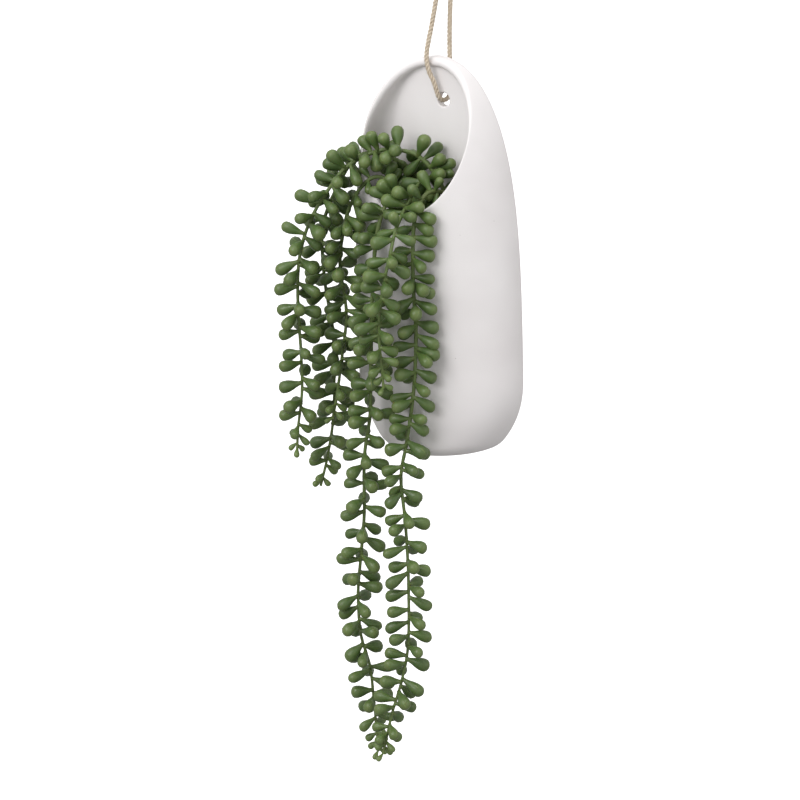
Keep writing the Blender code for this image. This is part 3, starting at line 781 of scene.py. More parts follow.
    def lip(self, outer: list[tuple], inner: list[tuple]) -> list[list[tuple]]:
        """Return rows of points that round the lip from the outer to the inner rim line.

        Args:
            outer: Each place on the outer rim line, with the way that the wall faces there.
            inner: The same for the inner rim line.

        Returns:
            The rows, which leave both surfaces without a step.
        """
        middles = [(a + b) / 2 for (a, _), (b, _) in zip(outer, inner)]
        rows = []
        for i, ((a, facing_a), (b, facing_b)) in enumerate(zip(outer, inner)):
            if i == 0:
                along = Vector((1, 0, 0))
            elif i == len(outer) - 1:
                along = Vector((-1, 0, 0))
            else:
                along = (middles[i + 1] - middles[i - 1]).normalized()
            reach = 2 / 3 * (a - b).length
            ways = []
            for facing in (facing_a, facing_b):
                way = facing.cross(along).normalized()
                ways.append(way if way.z > way.y else -way)
            row = []
            for step in range(self.lip_steps + 1):
                share = step / self.lip_steps
                rest = 1 - share
                point = (a * rest ** 3 + (a + ways[0] * reach) * (3 * rest * rest * share)
                         + (b + ways[1] * reach) * (3 * rest * share * share) + b * share ** 3)
                row.append(tuple(point))
            rows.append(row)
        return rows

    def shell(self) -> bpy.types.Mesh:
        """Return the pot without its hole."""
        below_out, above_out = self.levels(0.0, self.height)
        below_in, above_in = self.levels(self.wall, self.height - self.wall)
        outside = [self.section(z, 0.0, z) for z in below_out + above_out]
        inside = [self.section(z, self.wall, z) for z in below_in]
        inside += [self.section(z, self.wall, rim) for z, rim in zip(above_in, above_out)]
        points: list[tuple] = []
        faces: list[tuple] = []
        grids = [outside, inside]
        for level in (outside[0], inside[0]):
            middle = (0.0, level[-1][1] / 2, level[0][2])
            grids.append([[middle] * len(level), level])
        outer = [(Vector(row[-1]), self.rim_facing(z, 0.0, z))
                 for row, z in zip(outside[self.rows_below:], above_out)]
        inner = [(Vector(row[-1]), self.rim_facing(z, self.wall, rim))
                 for row, z, rim in zip(inside[self.rows_below:], above_in, above_out)]
        grids.append(self.lip(outer, inner))
        for rows in grids:
            add_grid(points, faces, rows)
        mirrored = [(-x, y, z) for x, y, z in points]
        shift = len(points)
        faces += [tuple(shift + i for i in reversed(face)) for face in faces]
        return mesh_from("wall_pot", points + mirrored, faces)

    def hole_tool(self) -> bpy.types.Object:
        """Return a round tool, flared at both faces of the plate, that cuts the hole."""
        steps, sides = 6, 56
        rows = []
        for depth, way in ((0.0, 1), (self.wall, -1)):
            half = []
            for i in range(steps + 1):
                turn = i / steps * math.pi / 2
                radius = self.hole_radius + self.hole_bevel * (1 - math.sin(turn))
                half.append((depth - way * -self.hole_bevel * (1 - math.cos(turn)), radius))
            half.insert(0, (depth - way * 2 * MM, self.hole_radius + self.hole_bevel))
            rows += half if way > 0 else list(reversed(half))
        points = []
        for deep, radius in rows:
            for k in range(sides):
                turn = 2 * math.pi * k / sides
                points.append((self.hole_across + radius * math.cos(turn), -deep,
                               self.hole_height + radius * math.sin(turn)))
        faces = [tuple(range(sides)), tuple(range(len(points) - sides, len(points)))]
        for j in range(len(rows) - 1):
            for k in range(sides):
                m = (k + 1) % sides
                faces.append((j * sides + k, j * sides + m, (j + 1) * sides + m,
                              (j + 1) * sides + k))
        return link_mesh("hole_tool", mesh_from("hole_tool", points, faces))

    def build(self) -> bpy.types.Object:
        """Build the pot with its hole and dress it."""
        pot = link_mesh("wall_pot", self.shell())
        tool = self.hole_tool()
        change = pot.modifiers.new("hole", "BOOLEAN")
        change.operation = "DIFFERENCE"
        change.solver = "EXACT"
        change.object = tool
        bpy.context.view_layer.update()
        graph = bpy.context.evaluated_depsgraph_get()
        cut = bpy.data.meshes.new_from_object(pot.evaluated_get(graph), depsgraph=graph)
        bpy.data.objects.remove(pot, do_unlink=True)
        bpy.data.objects.remove(tool, do_unlink=True)
        cut.materials.clear()
        cut.materials.append(self.finish.material())
        cut.shade_smooth()
        cut.set_sharp_from_angle(angle=math.radians(50))
        return stand_for(link_mesh("wall_pot", cut), Slot.POT, "pot")


def add_grid(points: list[tuple], faces: list[tuple], rows: list[list[tuple]]) -> None:
    """Join rows of points of equal length with faces.

    Args:
        points: The corners so far, which get the rows' points.
        faces: The faces so far, which get the new ones.
        rows: The rows.
    """
    start = len(points)
    size = len(rows[0])
    for row in rows:
        points.extend(row)
    for j in range(len(rows) - 1):
        for i in range(size - 1):
            corner = start + j * size + i
            faces.append((corner, corner + 1, corner + size + 1, corner + size))


@dataclass
class SoilPlug:
    """The potting mix that fills the pot, with crumbs and perlite on its top."""

    pot: WallPot
    top: float = 130 * MM
    dome: float = 3 * MM
    gap: float = 0.3 * MM
    crown_rows: int = 16
    crumb_count: float = 260000.0
    perlite_count: float = 26000.0
    peat: PottingMix = field(default_factory=PottingMix)
    perlite: PottingMix = PottingMix("perlite", (0.52, 0.50, 0.46), (0.72, 0.70, 0.66), 0.9)

    def plug(self) -> bpy.types.Mesh:
        """Return the plug, a little smaller than the inside of the pot all round."""
        lower, _ = self.pot.levels(self.pot.wall, self.pot.height - self.pot.wall)
        levels = [z + self.gap for z in lower if z < self.top - 2 * MM] + [self.top]
        rows = [self.pot.section(z, self.pot.wall + self.gap, 0.0) for z in levels]
        size = len(rows[0])
        edge = rows[-1]
        middle = edge[-1][1] / 2
        draw = random.Random(11)
        for i in range(1, self.crown_rows + 1):
            share = i / self.crown_rows
            rise = self.dome * math.sin(share * math.pi / 2)
            row = []
            for x, y, _ in edge:
                lump = draw.uniform(-0.35, 0.35) * MM if i < self.crown_rows and x > 0 else 0.0
                row.append((x * (1 - share), middle + (y - middle) * (1 - share),
                            self.top + rise + lump * min(3 * share, 1.0)))
            rows.append(row)
        rows.insert(0, [(0.0, rows[0][-1][1] / 2, levels[0])] * size)
        points: list[tuple] = []
        faces: list[tuple] = []
        add_grid(points, faces, rows)
        shift = len(points)
        faces += [tuple(shift + i for i in reversed(face)) for face in faces]
        points += [(-x, y, z) for x, y, z in points]
        return mesh_from("potting_mix", points, faces)

    def crumb(self, name: str, seed: int) -> bpy.types.Object:
        """Return one uneven crumb, a unit across."""
        form = bmesh.new()
        bmesh.ops.create_icosphere(form, subdivisions=2, radius=0.5)
        draw = random.Random(seed)
        for vert in form.verts:
            vert.co *= draw.uniform(0.72, 1.12)
        mesh = bpy.data.meshes.new(name)
        form.to_mesh(mesh)
        form.free()
        return link_mesh(name, mesh)

    def scatter(self) -> GeometryRule:
        """Return the rule that strews crumbs over the top of the plug."""
        rule = GeometryRule("strewn_crumbs")
        count = rule.take("Count", "Float")
        seed = rule.take("Seed", "Int")
        small = rule.take("Smallest", "Float")
        large = rule.take("Largest", "Float")
        form = rule.take("Crumb", "Object")
        material = rule.take("Finish", "Material")
        normal = rule.add("GeometryNodeInputNormal").outputs[0]
        up = rule.add("ShaderNodeSeparateXYZ", {0: normal}).outputs[2]
        upward = rule.add("FunctionNodeCompare", {0: up, 1: 0.5}, operation="GREATER_THAN")
        spots = rule.add("GeometryNodeDistributePointsOnFaces",
                         {"Mesh": rule.start.outputs[0], "Selection": upward.outputs[0],
                          "Density": count, "Seed": seed})
        turn = rule.add("FunctionNodeRandomValue",
                        {0: (0.0, 0.0, 0.0), 1: (6.28, 6.28, 6.28), "Seed": seed},
                        data_type="FLOAT_VECTOR").outputs[0]
        size = rule.add("FunctionNodeRandomValue", {2: small, 3: large, "Seed": seed},
                        data_type="FLOAT").outputs[1]
        shape = rule.add("GeometryNodeObjectInfo", {0: form})
        strewn = rule.add("GeometryNodeInstanceOnPoints",
                          {"Points": spots.outputs[0], "Instance": shape.outputs["Geometry"],
                           "Rotation": turn, "Scale": size})
        rule.give(rule.dressed(strewn.outputs[0], material))
        return rule

    def build(self) -> list[bpy.types.Object]:
        """Build the plug and what is strewn on it."""
        plug = self.plug()
        rule = self.scatter()
        pieces = []
        for name, count, sizes, finish in (
                ("soil_crumbs", self.crumb_count, (0.9 * MM, 2.3 * MM), self.peat),
                ("perlite_grains", self.perlite_count, (1.2 * MM, 2.4 * MM), self.perlite)):
            form = self.crumb(name + "_form", len(name))
            carrier = link_mesh(name + "_carrier", plug.copy())
            piece = rule.run(carrier, name, count=count, seed=len(name), smallest=sizes[0],
                             largest=sizes[1], crumb=form, finish=finish.material())
            bpy.data.objects.remove(form, do_unlink=True)
            pieces.append(stand_for(piece, Slot.SOIL))
        plug.materials.append(pieces[0].data.materials[0])
        plug.shade_smooth()
        pieces.append(stand_for(link_mesh("potting_mix", plug), Slot.SOIL, "soil"))
        return pieces


@dataclass(frozen=True)
class LeafPlace:
    """Where one leaf sits, which way it points and how big it is."""

    base: Vector
    way: Vector
    length: float
    width: float
    youth: float


@dataclass
class TrailingPlant:
    """All the leafy stems: their routes, the places of their leaves, and their meshes."""

    pot: WallPot
    soil: SoilPlug
    view_turn: float = math.radians(36)
    stem_radius: float = 1.35 * MM
    tip_radius: float = 0.8 * MM
    fine_step: float = 2 * MM
    stem_depth: float = 22 * MM
    bare_foot: float = 8 * MM
    leaf_length: float = 15.0 * MM
    leaf_width: float = 7.7 * MM
    length_range: tuple = (0.86, 1.08)
    width_range: tuple = (0.9, 1.08)
    leaf_gap: float = 3.7 * MM
    gap_shares: tuple = (0.5, 0.7, 0.9, 1.9)
    gap_spread: float = 0.2
    turn_spread: float = 0.25
    side_pull: float = 0.42
    end_on: float = 0.3
    lean_range: tuple = (-4, 16)
    tip_lean: float = 38
    droop_range: tuple = (-4, 22)
    own_crowding: float = 0.82
    tip_length: float = 30 * MM
    tip_leaf_scale: float = 0.42
    leaf_turn: float = math.radians(137.5)
    clearance: float = 0.5 * MM
    wall_clearance: float = 0.9 * MM
    tried_turns: tuple = (0, 25, -25, 50, -50, 80, -80, 110, -110, 145, -145, 180)
    tried_scales: tuple = (1.0, 0.86, 0.72)
    leaf_balls: tuple = ((0.16, 0.42), (0.34, 0.62), (0.53, 0.84), (0.72, 1.0), (0.88, 0.84))
    leaf_outline: tuple = ((0.0, 0.34), (0.12, 0.35), (0.28, 0.53), (0.44, 0.77), (0.59, 0.94),
                           (0.73, 1.0), (0.85, 0.94), (0.93, 0.72), (0.98, 0.38), (1.0, 0.10))
    leaf_sides: int = 10
    stem_sides: int = 9
    leaf_skin: LeafSkin = field(default_factory=LeafSkin)
    stem_skin: StemSkin = field(default_factory=StemSkin)
    # Routes read: (across, towards the viewer, height) in millimetres, turned by view_turn.
    routes: dict = field(default_factory=lambda: {
        "strand_front": [
            (-1, 15, 110), (-1, 15, 134), (-2, 15, 152), (-6, 17, 166), (-13, 26, 168),
            (-19, 37, 162), (-24, 46, 154), (-29, 54, 144), (-32, 59, 132), (-36, 61, 116),
            (-39, 61, 98), (-40, 60, 82), (-39, 60, 66), (-38, 60, 50)],
        "strand_long_right": [
            (12, 28, 110), (12, 28, 132), (9, 28, 150), (2, 30, 161), (-7, 36, 164),
            (-14, 43, 159), (-18, 48, 144), (-19, 49, 112), (-18, 48, 82), (-20, 48, 47),
            (-25, 48, 14), (-29, 48, -8), (-27, 49, -37), (-26, 50, -71), (-27, 51, -111),
            (-31, 52, -133), (-38, 53, -156), (-44, 53, -181)],
        "strand_long_left": [
            (-14, 24, 110), (-14, 24, 132), (-16, 24, 150), (-21, 26, 160), (-29, 31, 162),
            (-36, 36, 153), (-41, 38, 133), (-44, 38, 97), (-46, 38, 50), (-47, 37, 27),
            (-51, 36, 1), (-52, 34, -35), (-55, 32, -64), (-57, 31, -86), (-56, 31, -111),
            (-51, 32, -131), (-49, 32, -154), (-47, 32, -186)],
        "strand_left": [
            (4, 22, 110), (4, 22, 134), (3, 22, 150), (-1, 21, 165), (-7, 20, 175),
            (-14, 18, 182), (-22, 16, 185), (-34, 14, 186), (-45, 14, 183), (-53, 15, 179),
            (-60, 15, 174), (-67, 16, 165), (-74, 16, 155), (-79, 16, 146), (-84, 16, 134),
            (-88, 16, 116), (-89, 16, 89), (-88, 16, 64), (-88, 16, 39), (-91, 16, 16),
            (-92, 16, 2)],
        "strand_back_left": [
            (-9, 6, 110), (-9, 6, 134), (-10, 7, 152), (-15, 8, 167), (-25, 9, 177),
            (-36, 9, 182), (-45, 9, 183), (-52, 8, 180), (-58, 4, 172), (-64, -2, 160),
            (-70, -7, 146), (-74, -9, 131), (-73, -10, 100), (-69, -10, 70), (-69, -10, 40),
            (-70, -10, 16), (-74, -10, -8), (-79, -10, -28)],
        "strand_mid_left": [
            (-22, 9, 110), (-22, 9, 132), (-24, 11, 150), (-29, 15, 163), (-38, 17, 170),
            (-47, 16, 166), (-56, 14, 152), (-61, 13, 134), (-63, 12, 114), (-60, 12, 86),
            (-63, 12, 61), (-67, 12, 35), (-70, 12, 20)],
    })

    def stem_line(self, name: str) -> list[Vector]:
        """Return a stem's middle line, turned into the pot's frame."""
        sine, cosine = math.sin(self.view_turn), math.cos(self.view_turn)
        route = []
        for across, towards, height in self.routes[name]:
            x = across * cosine + towards * sine
            y = across * sine - towards * cosine
            route.append((x * MM, y * MM, height * MM))
        return smooth_line(route, self.fine_step)

    def wall_gap(self, point: Vector) -> float:
        """Return roughly how far a point is from the pot's ceramic."""
        pot = self.pot
        z = min(max(point.z, 0.0), pot.height)
        wide = max(pot.half_width(z) - pot.wall / 2, 1 * MM)
        deep = max(pot.depth(z) - pot.wall / 2, 1 * MM)
        reach = math.hypot(point.x, point.y)
        norm = max(math.hypot(point.x / wide, point.y / deep), 1e-6)
        side = abs(norm - 1) / norm * reach - pot.wall / 2
        if point.y > -1 * MM:
            side = max(side, point.y + 1 * MM)
        side = max(side, (-point.y - pot.rim_depth(z)) / math.hypot(1, pot.rim_slope))
        plate = max(abs(point.y + pot.wall / 2) - pot.wall / 2, abs(point.x) - pot.half_width(z))
        gap = min(side, plate)
        past = max(-point.z, point.z - pot.height, 0.0)
        return math.hypot(max(gap, 0.0), past) if past else gap

    def in_pot(self, point: Vector) -> bool:
        """Say whether a point is over the soil, within the walls."""
        pot = self.pot
        z = min(max(point.z, pot.wall), pot.height - pot.wall)
        wide = max(pot.half_width(z), 1 * MM)
        deep = max(pot.depth(z), 1 * MM)
        return point.y < 0 and math.hypot(point.x / wide, point.y / deep) < 1

    def is_clear(self, balls: list[Ball], others: list[Ball], own: list[Ball]) -> bool:
        """Say whether a leaf is clear of the pot, the soil, other stems and its own stem's leaves.

        Args:
            balls: The balls that stand for the leaf.
            others: Those of the other stems.
            own: Those of the leaves already on this stem.

        Returns:
            True where it touches nothing.
        """
        for centre, radius in balls:
            if self.wall_gap(centre) < radius + self.wall_clearance:
                return False
            if self.in_pot(centre) and centre.z < self.soil.top + 2 * self.soil.dome + radius:
                return False
            for other, size in others:
                if (centre - other).length_squared < (radius + size + self.clearance) ** 2:
                    return False
            for other, size in own:
                if (centre - other).length < self.own_crowding * (radius + size):
                    return False
        return True

    def balls_of(self, base: Vector, way: Vector, length: float, width: float) -> list[Ball]:
        """Return the balls that stand for one leaf."""
        return [(base + way * (length * share), 0.5 * width * wide)
                for share, wide in self.leaf_balls]

    def side_way(self, along: Vector, last_side: Vector) -> Vector:
        """Return a way square to the stem that points sideways in the view.

        Args:
            along: The way the stem runs.
            last_side: The way found for the leaf before, kept where the stem is end on.

        Returns:
            The way.
        """
        facing = Vector((math.sin(self.view_turn), -math.cos(self.view_turn), 0))
        across = along.cross(facing)
        if across.length < self.end_on:
            across = last_side - along * last_side.dot(along)
        return across.normalized()

    def leaf_places(self, name: str, line: list[Vector], stems: dict[str, list[Vector]],
                    taken: dict[str, list[Ball]]) -> list[LeafPlace]:
        """Return the places of a stem's leaves, in loose whorls along a spiral.

        The spiral is drawn towards the stem's two sides.
        A leaf that would touch something is turned on round the stem, then made smaller, and
        is left out where neither helps.

        Args:
            name: The stem's name, which seeds its random draws.
            line: Its middle line.
            stems: The middle lines of all the stems.
            taken: The room that leaves have already taken, which gets this stem's too.

        Returns:
            The places.
        """
        draw = random.Random(name)
        lengths = [0.0]
        for a, b in zip(line, line[1:]):
            lengths.append(lengths[-1] + (b - a).length)
        total = lengths[-1]
        others = [ball for key, balls in taken.items() if key != name for ball in balls]
        for key, other in stems.items():
            if key != name:
                others += [(p, self.stem_radius) for p in other]
        own: list[Ball] = []
        places = []
        side = Vector((1, 0, 0))
        turn = draw.uniform(0, 2 * math.pi)
        here = self.stem_depth + self.bare_foot
        count = 0
        j = 0
        while here < total:
            while lengths[j + 1] < here:
                j += 1
            base = line[j].lerp(line[j + 1], (here - lengths[j]) / (lengths[j + 1] - lengths[j]))
            along = (line[j + 1] - line[j]).normalized()
            side = self.side_way(along, side)
            sideways = turn - self.side_pull * math.sin(2 * turn) / 2
            grown = min((total - here) / self.tip_length, 1.0)
            size = self.tip_leaf_scale + (1 - self.tip_leaf_scale) * grown
            length = self.leaf_length * size * draw.uniform(*self.length_range)
            width = self.leaf_width * size * draw.uniform(*self.width_range)
            lean = math.radians(draw.uniform(*self.lean_range) + self.tip_lean * (1 - grown))
            droop = math.radians(draw.uniform(*self.droop_range)) * grown
            for scale, extra in [(s, e) for s in self.tried_scales for e in self.tried_turns]:
                out = Quaternion(along, sideways + math.radians(extra)) @ side
                way = out * math.cos(lean) + along * math.sin(lean)
                way = (way + Vector((0, 0, -1)) * math.sin(droop)).normalized()
                balls = self.balls_of(base, way, length * scale, width * scale)
                if self.is_clear(balls, others, own):
                    places.append(LeafPlace(base, way, length * scale, width * scale, 1 - grown))
                    own += balls
                    break
            turn += self.leaf_turn + draw.uniform(-self.turn_spread, self.turn_spread)
            share = self.gap_shares[count % len(self.gap_shares)]
            share *= draw.uniform(1 - self.gap_spread, 1 + self.gap_spread)
            here += self.leaf_gap * (0.5 + 0.5 * grown) * share
            count += 1
        taken[name] = own
        return places

    def leaf_form(self, shape: LeafShape) -> bpy.types.Object:
        """Return one club-shaped leaf of unit length and width, with its map.

        Args:
            shape: How it bends and how plump it is.

        Returns:
            The leaf's object.
        """
        points = []
        for share, wide in self.leaf_outline:
            shift = -shape.bend * share * share
            for k in range(self.leaf_sides):
                turn = 2 * math.pi * k / self.leaf_sides
                radius = 0.5 * wide * shape.plumpness
                points.append((radius * math.cos(turn) + shift, radius * math.sin(turn), share))
        sides = self.leaf_sides
        rings = len(self.leaf_outline)
        faces = [tuple(reversed(range(sides)))]
        for i in range(rings - 1):
            for k in range(sides):
                m = (k + 1) % sides
                faces.append((i * sides + k, i * sides + m, (i + 1) * sides + m,
                              (i + 1) * sides + k))
        faces.append(tuple(range((rings - 1) * sides, rings * sides)))
        mesh = bpy.data.meshes.new(shape.name.lower())
        mesh.from_pydata(points, [], faces)
        spread = mesh.uv_layers.new(name="leaf_map")
        for face in mesh.polygons:
            around = [mesh.loops[i].vertex_index % sides for i in face.loop_indices]
            wraps = max(around) - min(around) > sides / 2 and len(around) == 4
            for i, k in zip(face.loop_indices, around):
                ring = mesh.loops[i].vertex_index // sides
                share = (k + sides if wraps and k == 0 else k) / sides
                spread.data[i].uv = (share, self.leaf_outline[ring][0])
        return link_mesh(shape.name.lower(), mesh)

    def spray_rule(self) -> GeometryRule:
        """Return the rule that sweeps a stem along its path and sets a leaf at each point."""
        rule = GeometryRule("leafy_stem")
        path = rule.take("Path", "Object")
        forms = rule.take("Leaf Forms", "Collection")
        thick = rule.take("Stem Radius", "Float")
        thin = rule.take("Tip Radius", "Float")
        sides = rule.take("Stem Sides", "Int")
        swelling = rule.take("Node Swelling", "Float")
        spacing = rule.take("Node Spacing", "Float")
        seed = rule.take("Seed", "Int")
        leaf = rule.take("Leaf Skin", "Material")
        bark = rule.take("Stem Skin", "Material")
        curve = rule.add("GeometryNodeObjectInfo", {0: path}).outputs["Geometry"]
        where = rule.add("GeometryNodeSplineParameter").outputs
        share, along = where[0], where[1]
        curve = rule.store(curve, "share", share)
        curve = rule.store(curve, "along", along)
        taper = rule.add("ShaderNodeMapRange", {0: share, 3: thick, 4: thin}).outputs[0]
        beat = rule.maths("SINE", rule.maths("DIVIDE", rule.maths("MULTIPLY", along, math.pi),
                                             spacing))
        node = rule.maths("MULTIPLY", rule.maths("POWER", rule.maths("ABSOLUTE", beat), 6.0),
                          swelling)
        radius = rule.maths("MULTIPLY", taper, rule.maths("ADD", node, 1.0))
        ring = rule.add("GeometryNodeCurvePrimitiveCircle", {"Resolution": sides, "Radius": 1.0})
        around = rule.add("GeometryNodeSplineParameter").outputs[0]
        ring_curve = rule.store(ring.outputs[0], "around", around)
        tube = rule.add("GeometryNodeCurveToMesh",
                        {"Curve": curve, "Profile Curve": ring_curve, "Scale": radius,
                         "Fill Caps": True}).outputs[0]
        stem = rule.dressed(tube, bark)
        pool = rule.add("GeometryNodeCollectionInfo",
                        {0: forms, "Separate Children": True, "Reset Children": True})
        chosen = rule.add("FunctionNodeRandomValue", {4: 0, 5: len(LeafShape) - 1, "Seed": seed},
                          data_type="INT").outputs[2]
        leaves = rule.add("GeometryNodeInstanceOnPoints",
                          {"Points": rule.start.outputs[0], "Instance": pool.outputs[0],
                           "Pick Instance": True, "Instance Index": chosen,
                           "Rotation": rule.named("facing", "QUATERNION"),
                           "Scale": rule.named("size", "FLOAT_VECTOR")}).outputs[0]
        both = rule.add("GeometryNodeJoinGeometry")
        rule.tree.links.new(rule.dressed(leaves, leaf), both.inputs[0])
        rule.tree.links.new(stem, both.inputs[0])
        rule.give(both.outputs[0])
        return rule

    def leaf_points(self, name: str, places: list[LeafPlace]) -> bpy.types.Object:
        """Return a point for each leaf, which stores its facing, size, painted-shade pick and
        youth.
        """
        draw = random.Random(name + " tints")
        mesh = bpy.data.meshes.new(name + "_points")
        mesh.from_pydata([place.base for place in places], [], [])
        facings: list[float] = []
        sizes: list[float] = []
        tints: list[float] = []
        youths: list[float] = []
        for place in places:
            up = Vector((0, 0, 1)) - place.way * place.way.z
            if up.length < 0.1:
                up = Vector((1, 0, 0)) - place.way * place.way.x
            up = Quaternion(place.way, draw.uniform(-0.8, 0.8)) @ up.normalized()
            turned = Matrix((up, place.way.cross(up), place.way)).transposed()
            facings.extend(turned.to_quaternion())
            sizes += (place.width, place.width, place.length)
            # A random pick for each leaf, which sets how much painted shade it gets.
            tints.append(draw.random())
            youths.append(min(0.75 * place.youth + draw.uniform(0.0, 0.12), 1.0))
        for key, kind, part, values in (("facing", "QUATERNION", "value", facings),
                                        ("size", "FLOAT_VECTOR", "vector", sizes),
                                        ("tint", "FLOAT", "value", tints),
                                        ("youth", "FLOAT", "value", youths)):
            mesh.attributes.new(key, kind, "POINT").data.foreach_set(part, values)
        return link_mesh(name + "_points", mesh)

    def build(self) -> list[bpy.types.Object]:
        """Build and dress every leafy stem."""
        rule = self.spray_rule()
        forms = bpy.data.collections.new("leaf_forms")
        for shape in LeafShape:
            form = self.leaf_form(shape)
            bpy.context.scene.collection.objects.unlink(form)
            forms.objects.link(form)
        leaf, bark = self.leaf_skin.material(), self.stem_skin.material()
        stems = {name: self.stem_line(name) for name in self.routes}
        taken: dict[str, list[Ball]] = {}
        pieces = []
        for number, (name, line) in enumerate(stems.items()):
            places = self.leaf_places(name, line, stems, taken)
            path = line_object(name + "_path", line)
            piece = rule.run(self.leaf_points(name, places), "leafy_" + name, path=path,
                             leaf_forms=forms, stem_radius=self.stem_radius,
                             tip_radius=self.tip_radius, stem_sides=self.stem_sides,
                             node_swelling=0.12, node_spacing=2 * self.leaf_gap, seed=number,
                             leaf_skin=leaf, stem_skin=bark)
            bpy.data.objects.remove(path, do_unlink=True)
            pieces.append(stand_for(piece, Slot.PLANT, name))
        for form in list(forms.objects):
            bpy.data.objects.remove(form, do_unlink=True)
        bpy.data.collections.remove(forms)
        return pieces


